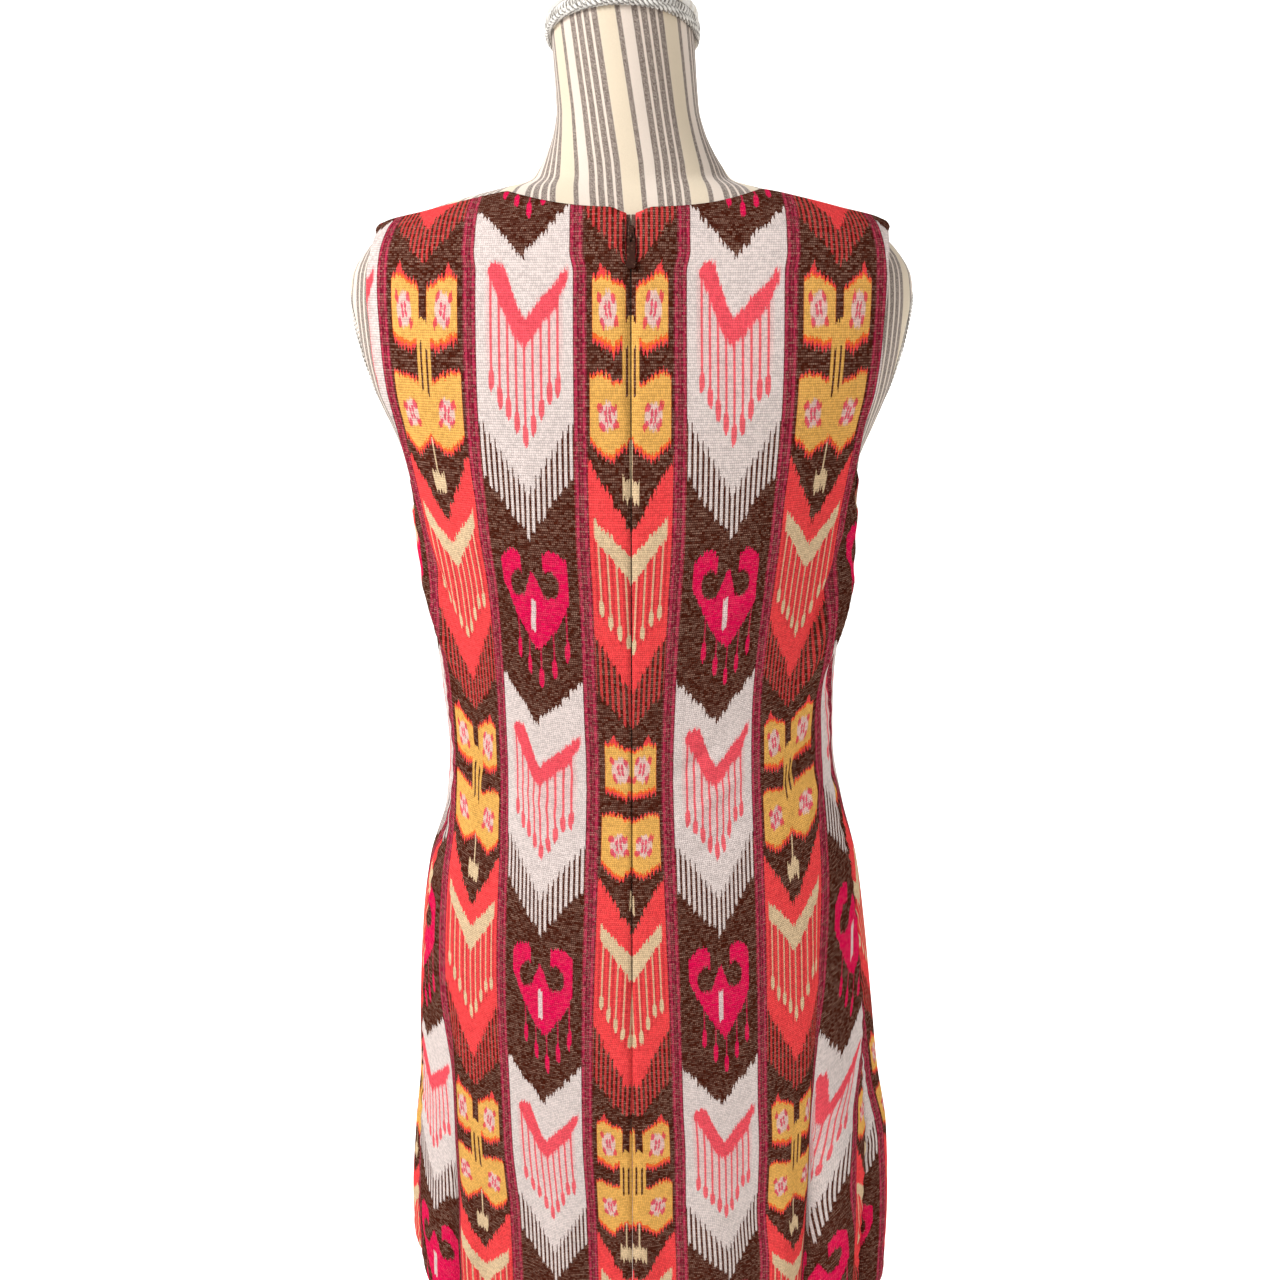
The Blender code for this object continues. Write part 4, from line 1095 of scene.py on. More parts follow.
@dataclass(frozen=True)
class IkatCloth:
    """Slubby cotton with a warp ikat of two kinds of column. Sizes are in millimetres of flat cloth.

    The warp threads were tied and dyed in bundles, so each bundle slipped a little up or down and
    ends in a small spike, and each thread feathers the edges.
    """

    column_pitch: float = 68.0
    repeat: float = 348.0
    bundle: float = 2.6
    thread: float = 0.85
    feather: float = 2.6
    slip: float = 4.2
    calm_share: float = 0.75
    row_rise: float = 1.3
    pale_half: float = 31.5
    pale_start: float = -14.0
    dark_start: float = 8.0

    def material(self) -> Material:
        """The cloth's material."""
        maker = Maker("ikat_cloth")
        across, woven_down = maker.cloth_millimetres("print")
        bundle = (across * (1 / self.bundle)).nearest()
        point = 1.0 - (across * (1 / self.bundle) - bundle).size() * 2.0
        thread = (across * (1 / self.thread)).nearest()
        down = woven_down + (maker.dice(thread + 0.5) - 0.5) * self.feather
        down = down + (maker.dice(thread, (down * 0.8).nearest()) - 0.5) * (self.feather * 0.8)
        slip = (maker.dice(bundle) - 0.5) * self.slip
        drift = (maker.noise(maker.pair(bundle * 0.31, down * 0.02), 1.0, 1.0) - 0.5) * (1.5 * self.slip)
        placed = down + slip + drift

        def column(shift: float, start: float) -> ColumnPlace:
            """Each point's place in the columns that lie this far across, with rows from start on."""
            pitch = self.column_pitch
            middle, bundle_middle = across, bundle * self.bundle
            if shift:
                middle, bundle_middle = middle - shift, bundle_middle - shift
            middle, bundle_aside = middle.wrapped(-pitch, pitch), bundle_middle.wrapped(-pitch, pitch).size()
            rising = (placed + bundle_aside * self.row_rise).wrapped(start, self.repeat + start)
            in_row = rising - bundle_aside * self.row_rise
            calm = in_row - slip * self.calm_share
            aside = middle.size()
            return ColumnPlace(
                maker, across, middle, aside, bundle_aside, rising, in_row, calm, slip, point
            )

        pale_place, dark_place = column(self.column_pitch, self.pale_start), column(0.0, self.dark_start)
        pale: Colour = Dye.BROWN
        for motif in (PaleChevron(), RedArms(), CrimsonHorns()):
            pale = motif.dye(pale_place, pale)
        dark: Colour = Dye.BROWN
        for motif in (CoralArrow(), YellowFlowers()):
            dark = motif.dye(dark_place, dark)
        from_dark = across.wrapped(-self.column_pitch, self.column_pitch).size()
        colour = maker.over(dark, pale, from_dark.above(self.column_pitch - self.pale_half, 0.5))
        colour = WarpStripes().dye(maker, colour, from_dark, across, down)
        colour, weave = SlubbyWeave().weave(maker, colour, across, woven_down)
        maker.bump(weave, 0.0005, 0.55)
        return maker.finish(colour, 0.9, Specular_IOR_Level=0.0)


# ======== other finishes
@dataclass(frozen=True)
class Ticking:
    """Cream ticking with brown-grey stripes. Sizes are in millimetres of flat cloth."""

    period: float = 46.0
    single_half: float = 1.75
    group_start: float = 11.0
    group_end: float = 33.6
    group_pitch: float = 6.1
    group_half: float = 2.15
    cream: str = "#DACBBE"
    butter: str = "#D7C7AE"
    stripe: str = "#5F504A"
    dust: str = "#A59684"

    def material(self) -> Material:
        """The ticking's material."""
        maker = Maker("ticking")
        across, down = maker.cloth_millimetres("stripes")
        t = across.wrapped(0.0, self.period)
        colour = maker.over(self.cream, self.butter, t.above(self.group_end, 1.0) * 0.9)
        first, half_pitch = self.group_start + self.group_half, self.group_pitch / 2
        grouped = (t - first).wrapped(-half_pitch, half_pitch).size().below(self.group_half, 0.5)
        grouped = grouped * t.between(self.group_start - 0.4, self.group_end)
        single = (t - self.single_half).size().below(self.single_half, 0.5)
        twill = maker.dice((across * 1.9 + down * 1.2).nearest(), (down * 1.9).nearest())
        stripes = grouped.either(single) * twill.scaled(0.5, 0.55, clamp=True)
        colour = maker.over(colour, self.stripe, stripes)
        threads = maker.dice((across * 2.2).nearest(), (down * 2.2).nearest())
        soft = maker.noise(maker.pair(across * 0.03, down * 0.03), 1.0, 2.0)
        colour = maker.over(colour, self.dust, threads * soft * 0.22)
        maker.bump(threads, 0.00025, 0.5)
        return maker.finish(colour, 0.85, Sheen_Weight=0.15, Specular_IOR_Level=0.25)


@dataclass(frozen=True)
class Braid:
    """Off-white cotton cord of the plaits, with painted shade in the grooves of its twist. Sizes are in
    millimetres of cord.
    """

    colour: str = "#E6E2DC"
    # The colour of the painted shade in the twist's grooves, and of the cord's darker fibres and soil.
    shade: str = "#544C45"
    twist: float = 2.9

    def material(self) -> Material:
        """The cord's material, with its twist drawn as painted shade in its grooves and as a bump."""
        maker = Maker("braid")
        place = maker.point()
        around, along = maker.cloth_millimetres("cord")
        fibre = maker.noise(place, 900.0, 3.0)
        soil = maker.noise(place, 60.0, 3.0)
        groove = (along + around * 0.8).wrapped(-self.twist / 2, self.twist / 2).size()
        groove = groove.above(self.twist * 0.34, 0.35)
        # Painted shade in the grooves of the twist.
        colour = maker.over(self.colour, self.shade, groove * 0.75)
        colour = maker.over(colour, self.shade, fibre.above(0.6, 0.25) * 0.3)
        colour = maker.over(colour, self.shade, soil.above(0.6, 0.3) * 0.25)
        maker.bump(fibre * 0.5 - groove, 0.0004, 0.7)
        return maker.finish(colour, 0.85, Specular_IOR_Level=0.15)


@dataclass(frozen=True)
class WhitewashedWood:
    """Wood under a worn white wash, with its grain along one of the three directions."""

    name: str = "whitewashed_wood"
    stretch: Three = (1.0, 1.0, 0.12)
    wash: str = "#E4E1DB"
    bare: str = "#B7A48C"
    grain_scale: float = 26.0

    def material(self) -> Material:
        """The wood's material."""
        maker = Maker(self.name)
        stretch = maker.node("ShaderNodeMapping")
        stretch.inputs["Scale"].default_value = self.stretch
        maker.link(maker.point(), stretch.inputs["Vector"])
        grain = maker.noise(stretch.outputs[0], self.grain_scale * 6, 5.0)
        wear = maker.noise(maker.point(), self.grain_scale, 4.0)
        colour = maker.over(self.wash, self.bare, grain.above(0.58, 0.16) * 0.45)
        colour = maker.over(colour, self.bare, wear.above(0.66, 0.2) * 0.5)
        maker.bump(grain, 0.0006, 0.5)
        return maker.finish(colour, 0.62, Specular_IOR_Level=0.4)


@dataclass(frozen=True)
class ZipTapeCloth:
    """Brown knitted zip tape. Sizes are in millimetres of tape."""

    colour: str = "#4A2C20"
    light: str = "#7A5542"
    rib: float = 0.35

    def material(self) -> Material:
        """The tape's material."""
        maker = Maker("zip_tape")
        across, down = maker.cloth_millimetres("tape")
        ribs = across.wrapped(-self.rib, self.rib).size().below(0.2, 0.2)
        knit = maker.dice((across * 1.4).nearest(), (down * 1.6).nearest())
        colour = maker.over(self.colour, self.light, knit * ribs * 0.6)
        maker.bump(ribs + knit * 0.5, 0.0002, 0.7)
        return maker.finish(colour, 0.8, Sheen_Weight=0.1)


@dataclass(frozen=True)
class EnamelledMetal:
    """Brown enamelled zinc, worn a little through in small spots."""

    enamel: str = "#321409"
    worn: str = "#6A4A3A"

    def material(self) -> Material:
        """The slider's and the pull tab's material."""
        maker = Maker("zip_metal")
        spots = maker.noise(maker.point(), 420.0, 3.0)
        colour = maker.over(self.enamel, self.worn, spots.above(0.63, 0.1) * 0.6)
        maker.bump(spots, 0.0001, 0.4)
        return maker.finish(colour, 0.5, Specular_IOR_Level=0.18)


@dataclass(frozen=True)
class StudioPaper:
    """Plain pale paper, lit through from behind on the far side of the dress."""

    colour: str = "#F4F3F1"
    glow: float = 0.64

    def material(self) -> Material:
        """The floor's material."""
        maker = Maker("studio_floor")
        place = maker.node("ShaderNodeSeparateXYZ")
        maker.link(maker.point(), place.inputs[0])
        behind = Field(maker.tree, place.outputs[1]).scaled(-0.6, 0.95, clamp=True)
        maker.link(behind * self.glow, maker.shader.inputs["Emission Strength"])
        maker.shader.inputs["Emission Color"].default_value = linear(self.colour)
        return maker.finish(self.colour, 0.95, Specular_IOR_Level=0.0)


# ======== meshes
def finished(obj: Object, material: Material, slot: str, *nodes: str) -> Object:
    """Gives a piece its material and its body, and hides the solids that it stands for.

    Args:
        obj: the piece.
        material: its material.
        slot: the record's material slot; not used.
        nodes: the CAD nodes that it replaces.

    Returns:
        The piece.
    """
    obj.data.materials.clear()
    obj.data.materials.append(material)
    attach(obj, BODY)
    if nodes:
        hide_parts(*nodes)
    LOG.info("%s: %d faces", obj.name, len(obj.data.polygons))
    return obj


def mesh_object(name: str, points: Array, faces: Array | list) -> Object:
    """An object in the scene, smoothly shaded.

    Args:
        name: its name.
        points: its points, in a last axis of three.
        faces: the corner numbers of each face.

    Returns:
        The object.
    """
    mesh = bpy.data.meshes.new(name)
    mesh.from_pydata(points.reshape(-1, 3).tolist(), [], [list(face) for face in faces])
    mesh.update()
    mesh.shade_smooth()
    obj = bpy.data.objects.new(name, mesh)
    bpy.context.scene.collection.objects.link(obj)
    return obj


def grid_faces(rows: int, columns: int, flip: bool = False, wrap: bool = False) -> Array:
    """Quads of a grid of points.

    Args:
        rows: lines of points.
        columns: points in each line.
        flip: whether the quads face the other way.
        wrap: whether the last column joins the first.

    Returns:
        The corner numbers of each quad.
    """
    i = np.arange(rows - 1)[:, None]
    j = np.arange(columns if wrap else columns - 1)[None, :]
    after = (j + 1) % columns
    quads = [i * columns + j, i * columns + after, (i + 1) * columns + after, (i + 1) * columns + j]
    quads = np.stack([np.broadcast_to(q, (rows - 1, j.shape[1])) for q in quads], axis=-1).reshape(-1, 4)
    return quads if flip else quads[:, ::-1]


def lay_uvs(obj: Object, layer: str, uvs: Array) -> None:
    """Lays one flat place for each point, in metres.

    Args:
        obj: the piece.
        layer: the name of the layer that its material reads.
        uvs: across and down for each point.
    """
    corners = np.zeros(len(obj.data.loops), np.int32)
    obj.data.loops.foreach_get("vertex_index", corners)
    made = obj.data.uv_layers.new(name=layer)
    made.data.foreach_set("uv", uvs.reshape(-1, 2)[corners].astype(np.float32).ravel())


def flat_grid(across: Array, down: Array) -> Array:
    """Flat places of a grid, from those of its columns and of its rows."""
    return np.stack(np.broadcast_arrays(across[None, :], down[:, None]), axis=-1)


def thicken(obj: Object, name: str, thickness: float) -> bpy.types.Modifier:
    """Gives a sheet its thickness, inwards from its outside."""
    shell = obj.modifiers.new(name, "SOLIDIFY")
    shell.thickness, shell.offset = thickness, -1
    return shell


def sweep(points: Array, outs: Array, radii: Pair, sides: int) -> tuple[Array, Array]:
    """A closed tube along a closed line.

    Args:
        points: the line.
        outs: a direction across the line at each point.
        radii: half sizes of the tube along that direction and across it.
        sides: points round the tube.

    Returns:
        The tube's points and faces.
    """
    along = unit(np.roll(points, -1, axis=0) - np.roll(points, 1, axis=0))
    outs = unit(outs - (outs * along).sum(1, keepdims=True) * along)
    across = np.cross(along, outs)
    turns = np.linspace(math.pi, 3 * math.pi, sides, endpoint=False)
    rings = [points + outs * math.cos(t) * radii[0] + across * math.sin(t) * radii[1] for t in turns]
    grid = np.stack(rings, axis=1)
    grid = np.concatenate([grid, grid[:1]], axis=0)
    faces = grid_faces(len(points) + 1, sides, wrap=True)
    return grid[:-1], faces % (len(points) * sides)


@dataclass
class DressCloth:
    """The outside of the worn dress as a surface: where each point of each half panel lies."""

    stand_off: float = 0.0012
    zip_stand_off: float = 0.0026
    zip_stand_off_reach: float = 0.032
    tip_stand_off: float = 0.0022
    tip_from: float = 0.14
    tip_heights: Pair = (1.27, 1.33)
    strap_stand_off: float = 0.003
    strap_reach: Pair = (0.05, 0.1)
    strap_heights: Pair = (1.29, 1.35)
    centre_half_gap: float = 0.00042
    notch_half_width: float = 0.0027
    notch_depth: float = 0.026
    notch_close: float = 0.013
    zip_dip: float = 0.004
    zip_dip_reach: float = 0.0065
    fold_fade: Pair = (1.15, 1.2)
    even_columns_height: float = 1.27
    zip_end_height: float = 0.8
    fine_lines: int = 160
    yoke_lines: int = 84
    skirt_lines: int = 216
    top_search: Pair = (1.25, 1.376)
    search_steps: int = 40
    ridge_lowest: float = 1.335
    back_neck_power: float = 1.9
    front_neck_power: float = 2.3
    body: SectionedBody = field(
        default_factory=lambda: SectionedBody(DRESS_ROWS + SHOULDER_ROWS + NECK_ROWS)
    )
    seams: SmoothTable = field(default_factory=lambda: SmoothTable(SIDE_SEAM_ROWS))
    armholes: dict[Side, SmoothTable] = field(default_factory=dict)

    def __post_init__(self) -> None:
        """Joins each armhole to its side seam."""
        for column, side in enumerate(Side):
            seam_top = float(self.seams(UNDERARM_HEIGHT)[column])
            edge_rows = [(row[0], row[1 + column], row[3]) for row in ARMHOLE_ROWS]
            self.armholes[side] = SmoothTable([(UNDERARM_HEIGHT, seam_top, 180 - seam_top)] + edge_rows)

    def angle(self, share: Array, side: Side, half: Half, height: Array) -> Array:
        """The angles at which the columns of a half panel lie.

        Args:
            share: columns, 0 at the centre and 1 at the edge.
            side: the half that they are on.
            half: back or front.
            height: heights of the same points.

        Returns:
            Angles from the centre back, in radians.
        """
        is_back = half is Half.BACK
        seam = np.radians(self.seams(height)[..., 0 if side is Side.LEFT else 1])
        below = share * (seam if is_back else math.pi - seam)
        edge = np.radians(self.armholes[side](height)[..., 0 if is_back else 1])
        round_it = share * edge
        across_it = np.arcsin(np.sin(share * math.pi / 2) * np.sin(np.minimum(edge, math.pi / 2)))
        above = round_it + (across_it - round_it) * ease(height, UNDERARM_HEIGHT, self.even_columns_height)
        angle = np.where(height <= UNDERARM_HEIGHT, below, above)
        return angle if is_back else math.pi - angle

    def base(self, share: Array, side: Side, half: Half, height: Array) -> tuple[Array, Array]:
        """The points that the cloth follows, and their angles."""
        angle = self.angle(share, side, half, height)
        x, y = section_xy(self.body.section(height), side, angle)
        return np.stack([x, y, height], axis=-1), angle

    def tops(self, share: Array, side: Side, half: Half) -> Array:
        """The height where each column ends: on the neckline, or on the ridge of the shoulder.

        Args:
            share: columns, 0 at the centre and 1 at the edge.
            side: the half that they are on.
            half: back or front.

        Returns:
            The height of each column's top.
        """
        is_back = half is Half.BACK
        lowest = BACK_NECK_HEIGHT if is_back else FRONT_NECK_HEIGHT
        power = self.back_neck_power if is_back else self.front_neck_power
        low, high = (np.full(share.shape, limit) for limit in self.top_search)
        reach = NECK_POINT_HALF_WIDTHS[side.value]
        for _ in range(self.search_steps):
            middle = (low + high) / 2
            x = np.abs(self.base(share, side, half, middle)[0][..., 0])
            section = self.body.section(middle)
            fraction = np.sin(share * math.pi / 2) ** (2 / section[..., 4])
            past_ridge = fraction * SHOULDER_TIP_HALF_WIDTH >= section[..., 0] * 0.9999
            past_ridge &= middle > self.ridge_lowest
            neckline = lowest + (SHOULDER_SEAM_HEIGHT - lowest) * np.minimum(x / reach, 1.0) ** power
            if is_back:
                neckline = neckline - self.zip_dip * np.exp(-((x / self.zip_dip_reach) ** 2))
            past = past_ridge | ((x < reach) & (middle > neckline))
            high, low = np.where(past, middle, high), np.where(past, low, middle)
        return low

    def centre_gap(self, height: Array) -> Array:
        """Half the gap between the two backs, with its notch round the zip's slider."""
        closed = ease(BACK_NECK_HEIGHT - height, self.notch_depth, self.notch_depth + self.notch_close)
        return self.centre_half_gap + self.notch_half_width * (1 - closed)

    def rise(self, x: Array, height: Array, degrees: Array) -> Array:
        """How far the cloth's outside stands off the form, with its folds and creases.

        Args:
            x: how far left of the middle the points lie.
            height: their heights.
            degrees: their angles, above 0 on the wearer's left.

        Returns:
            The distance of each point.
        """
        over_zip = self.zip_stand_off * np.exp(-((x / self.zip_stand_off_reach) ** 2))
        at_tip = ease(np.abs(x), self.tip_from, SHOULDER_TIP_HALF_WIDTH) * ease(height, *self.tip_heights)
        at_tip = at_tip * self.tip_stand_off
        strap = ease(-x, *self.strap_reach) * ease(height, *self.strap_heights) * self.strap_stand_off
        fade = 1 - ease(height, *self.fold_fade)
        folds = fold_lift(FOLD_ROWS, degrees, height) + fold_lift(CREASE_ROWS, degrees, height)
        return self.stand_off + CLOTH_THICKNESS + over_zip + at_tip + strap + folds * fade

    def points(
        self, share: Array, side: Side, half: Half, height: Array, lift: Array | float = 0.0
    ) -> Array:
        """Points on the outside of the dress.

        Args:
            share: columns, 0 at the centre and 1 at the edge.
            side: the half that they are on.
            half: back or front.
            height: heights of the same points.
            lift: how far outside the cloth they lie.

        Returns:
            The points, in a last axis of three.
        """
        base, angle = self.base(share, side, half, height)
        normals = self.body.normals(base)
        degrees = np.degrees(angle) * side.value
        rise = self.rise(base[..., 0], height, degrees) + lift
        made = base + normals * rise[..., None]
        above = height > UNDERARM_HEIGHT
        if half is Half.BACK:
            made[..., 1] = np.where(above, np.maximum(made[..., 1], SEAM_GAP / 2), made[..., 1])
            opened = np.abs(made[..., 0]) + self.centre_gap(made[..., 2]) * (1 - share)
            made[..., 0] = np.where(share < 1, side.value * opened, made[..., 0])
        else:
            made[..., 1] = np.where(above, np.minimum(made[..., 1], -SEAM_GAP / 2), made[..., 1])
        return made

    def heights(self, share: Array, side: Side, half: Half) -> Array:
        """Heights down each column: evenly along the cloth to the underarm, then evenly to the hem.

        Args:
            share: columns, 0 at the centre and 1 at the edge.
            side: the half that they are on.
            half: back or front.

        Returns:
            The heights, rows down the panel first.
        """
        top = self.tops(share, side, half)
        steps = np.linspace(0, 1, self.fine_lines + 1) ** 2
        fine = top[None, :] - (top - UNDERARM_HEIGHT)[None, :] * steps[:, None]
        lengths = running_length(self.base(np.broadcast_to(share, fine.shape), side, half, fine)[0])
        yoke = [
            np.interp(np.linspace(0, lengths[-1, k], self.yoke_lines + 1), lengths[:, k], fine[:, k])
            for k in range(len(share))
        ]
        angle = self.angle(share, side, half, np.full(share.shape, HEM_HEIGHT))
        hem = HEM_HEIGHT + HEM_RISES[side.value] * np.sin(angle) ** 2
        skirt = UNDERARM_HEIGHT + (hem - UNDERARM_HEIGHT) * np.linspace(0, 1, self.skirt_lines + 1)[1:, None]
        return np.concatenate([np.array(yoke).T, skirt])


@dataclass(frozen=True)
class PrintLayout:
    """Where the cloth's columns and rows of print lie on the worn dress.

    The back's rows are read at the height where each column of the print was seen: its place at
    the centre seam, the distances round the dress to the first and second column on the wearer's
    left and right, how far the rows rise towards the sides, and the cloth hidden in each tuck.
    """

    pitch: float = 0.068
    top_height: float = 1.36
    level_height: float = 1.28
    tuck_at: Pair = (0.1475, 0.147)
    tuck_half: float = 0.004
    draw_over: Pair = (0.008, 0.04)
    rise_end: float = 1.4
    front_rise_share: float = 1.3
    front_drawn_share: float = 0.5
    centre_levels: int = 800
    # Columns: height, seam, left 1, left 2, right 1, right 2, left rise, right rise, left tuck, right
    # tuck, and how much further the cloth beyond the left and the right tuck is drawn up.
    back_rows: tuple = (
        (0.4, -0.005, 0.06, 0.123, 0.078, 0.136, 0.012, 0.008, 0.02, 0.043, 0.016, 0.03),
        (0.53, -0.005, 0.0605, 0.1235, 0.078, 0.135, 0.012, 0.008, 0.02, 0.047, 0.016, 0.03),
        (0.59, -0.005, 0.062, 0.124, 0.074, 0.1305, 0.011, 0.008, 0.02, 0.05, 0.016, 0.028),
        (0.65, -0.005, 0.0665, 0.1275, 0.072, 0.132, 0.008, 0.008, 0.018, 0.045, 0.012, 0.02),
        (0.69, -0.004, 0.068, 0.1275, 0.069, 0.131, 0.008, 0.008, 0.014, 0.03, 0.007, 0.011),
        (0.78, 0.0, 0.0695, 0.129, 0.067, 0.128, 0.01, 0.012, 0.0, 0.008, 0.0, 0.0),
        (0.9, 0.006, 0.0685, 0.1245, 0.0636, 0.1236, 0.012, 0.019, 0.0, 0.0, 0.0, 0.0),
        (0.96, 0.0075, 0.0685, 0.1225, 0.062, 0.12, 0.0135, 0.021, 0.0, 0.0, 0.0, 0.0),
        (1.0, 0.0065, 0.0695, 0.122, 0.0625, 0.1185, 0.012, 0.02, 0.0, 0.0, 0.0, 0.0),
        (1.09, 0.003, 0.069, 0.126, 0.066, 0.125, 0.008, 0.01, 0.0, 0.0, 0.0, 0.0),
        (1.14, 0.001, 0.0707, 0.134, 0.0687, 0.131, 0.003, 0.004, 0.0, 0.0, 0.0, 0.0),
        (1.21, 0.0, 0.0707, 0.142, 0.069, 0.1395, 0.0, 0.0, 0.0, 0.0, 0.0, 0.0),
        (1.29, 0.0, 0.0708, 0.142, 0.068, 0.142, 0.0, 0.0, 0.0, 0.0, 0.0, 0.0),
        (1.376, 0.0, 0.0708, 0.14, 0.068, 0.142, 0.0, 0.0, 0.0, 0.0, 0.0, 0.0),
    )
    # Length down the centre back against place in the print.
    down_rows: tuple = (
        (-0.06, -0.101),
        (0.0409, 0.0),
        (0.1498, 0.1089),
        (0.228, 0.187),
        (0.3758, 0.348),
        (0.475, 0.463),
        (0.6785, 0.696),
        (0.775, 0.811),
        (0.84, 0.884),
        (0.98, 1.048),
    )

    def places(
        self, cloth: DressCloth, side: Side, half: Half, share: Array, height: Array, points: Array
    ) -> Array:
        """The flat place of each point of a half panel.

        Args:
            cloth: the dress surface.
            side: the half that the points are on.
            half: back or front.
            share: their columns.
            height: their heights.
            points: the points themselves, rows down the panel first.

        Returns:
            Across and down, in metres of flat cloth.
        """
        angle = cloth.angle(share, side, half, height)
        round_it = cloth.body.length_round(side, angle, height)
        rows = SmoothTable(self.back_rows)(height)
        at = 0 if side is Side.LEFT else 1
        rise, drawn_up = rows[..., 5 + at], rows[..., 9 + at]
        if half is Half.BACK:
            seam, first, second = rows[..., 0], rows[..., 1 + 2 * at], rows[..., 2 + 2 * at]
            inner = seam + (self.pitch - seam) * round_it / first
            outer = self.pitch * (1 + (round_it - first) / (second - first))
            tuck_at = self.tuck_at[at]
            tuck = rows[..., 7 + at] * ease(round_it, tuck_at - self.tuck_half, tuck_at + self.tuck_half)
            beyond = 2 * self.pitch + round_it - second + tuck
            across = np.where(round_it < first, inner, np.where(round_it < second, outer, beyond))
            side_rise = rise * np.minimum(round_it / (2 * self.pitch), self.rise_end) ** 2
            drawn = ease(round_it, tuck_at - self.tuck_half / 2, tuck_at + self.draw_over[at])
            side_rise = side_rise + drawn_up * drawn
        else:
            across = cloth.body.length_round(side, np.full_like(angle, math.pi), height) - round_it
            side_rise = rise * self.front_rise_share + drawn_up * self.front_drawn_share
        levels = np.linspace(self.top_height, HEM_HEIGHT - 0.01, self.centre_levels)
        reach = cloth.body.section(levels)[:, 2]
        centre_lengths = np.concatenate([[0], np.cumsum(np.hypot(np.diff(reach), np.diff(levels)))])
        down = np.interp(-height, -levels, centre_lengths)
        at_level = float(np.interp(-self.level_height, -levels, centre_lengths))
        lengths = running_length(points)
        for column in range(points.shape[1]):
            start = np.interp(-self.level_height, -height[:, column], lengths[:, column])
            high = height[:, column] > self.level_height
            down[high, column] = at_level - (start - lengths[high, column])
        down = down + side_rise
        knots = np.array(self.down_rows)
        slope = (knots[1, 1] - knots[0, 1]) / (knots[1, 0] - knots[0, 0])
        placed = np.interp(down, knots[:, 0], knots[:, 1]) + np.minimum(down - knots[0, 0], 0) * slope
        return np.stack([side.value * across, placed], axis=-1)


@dataclass
class DressPanels:
    """The front and the two backs as thin cloth with rolled edges and puckered seams."""

    cloth: DressCloth
    layout: PrintLayout
    material: Material
    back_columns: int = 76
    front_columns: int = 64
    roll_depth: float = 0.0007
    roll_width: float = 0.0018
    swell: float = 0.0005
    swell_width: float = 0.0035
    pucker: float = 0.0005
    pucker_pitch: float = 0.017
    hem_swell_at: float = 0.012
    hem_stitch_at: float = 0.038
    hem_stitch_depth: float = 0.00045
    seam_dip: float = 0.0008
    tape_reach: float = 0.014
    seam_width: float = 0.17

    def half_panel(self, side: Side, half: Half, columns: int) -> tuple[Array, Array]:
        """A half panel, from its top edge to the hem.

        Args:
            side: the half of the dress.
            half: back or front.
            columns: how many strips it is made of.

        Returns:
            Its points and their flat places, rows down the panel first.
        """
        share = np.linspace(0, 1, columns + 1)
        share[-1] = 1 - (SEAM_GAP / 2) / self.seam_width
        height = self.cloth.heights(share, side, half)
        share = np.broadcast_to(share, height.shape).copy()
        plain = self.cloth.points(share, side, half, height)
        lift = self._edges(plain, height, half)
        points = self.cloth.points(share, side, half, height, lift)
        return points, self.layout.places(self.cloth, side, half, share, height, plain)

    def _edges(self, points: Array, height: Array, half: Half) -> Array:
        """How the cloth dips at its edges and swells beside them over the turned allowance.

        Args:
            points: the half panel's points, rows down the panel first.
            height: their heights.
            half: back or front.

        Returns:
            How far each point is lifted.
        """
        down, across = running_length(points), running_length(points, axis=1)
        from_edge, from_hem = across[:, -1:] - across, down[-1:] - down
        wave = np.sin(2 * math.pi * height / self.pucker_pitch + 3 * np.sin(height * 37))

        def bell(distance: Array, width: float) -> Array:
            """1 at no distance, and soon 0 beyond a width."""
            return np.exp(-((distance / width) ** 2))

        def edge(distance: Array, depth: float, reach: float = 0.006) -> Array:
            """The dip at an edge and the swell beside it."""
            swell = self.swell * bell(distance - reach, self.swell_width)
            return swell - depth * bell(distance, self.roll_width)

        lift = edge(down, self.roll_depth) + edge(from_edge, self.roll_depth)
        lift += edge(from_hem, self.roll_depth, self.hem_swell_at)
        lift += self.pucker * wave * bell(from_edge, 0.009) * (height < UNDERARM_HEIGHT)
        lift -= self.hem_stitch_depth * bell(from_hem - self.hem_stitch_at, 0.003)
        if half is Half.BACK:
            sewn = 1 - ease(height, self.cloth.zip_end_height - 0.01, self.cloth.zip_end_height)
            lift += edge(across, self.seam_dip) * sewn
            lift += self.pucker * wave * bell(across, 0.01) * (0.35 + 0.65 * sewn)
            lift = np.where(across < self.tape_reach, np.maximum(lift, -0.0002 - 0.0008 * sewn), lift)
        return lift

    def build(self) -> list[Object]:
        """Makes the three panels."""
        made = []
        for side in Side:
            points, places = self.half_panel(side, Half.BACK, self.back_columns)
            name = f"dress_back_{side.name.lower()}"
            obj = mesh_object(f"{name}_cloth", points, grid_faces(*points.shape[:2], flip=side is Side.RIGHT))
            made.append(self._dress(obj, places, name))
        left, left_places = self.half_panel(Side.LEFT, Half.FRONT, self.front_columns)
        right, right_places = self.half_panel(Side.RIGHT, Half.FRONT, self.front_columns)
        points = np.concatenate([right[:, :0:-1], left], axis=1)
        places = np.concatenate([right_places[:, :0:-1], left_places], axis=1)
        obj = mesh_object("dress_front_cloth", points, grid_faces(*points.shape[:2]))
        made.append(self._dress(obj, places, "dress_front"))
        return made

    def _dress(self, obj: Object, places: Array, node: str) -> Object:
        """Args:
            obj: the panel.
            places: the flat places of its points.
            node: the CAD node that it replaces.

        Returns:
            The panel.
        """
        lay_uvs(obj, "print", places)
        thicken(obj, "cloth thickness", CLOTH_THICKNESS).use_quality_normals = True
        finished(obj, self.material, "ikat_cloth", node)
        return obj


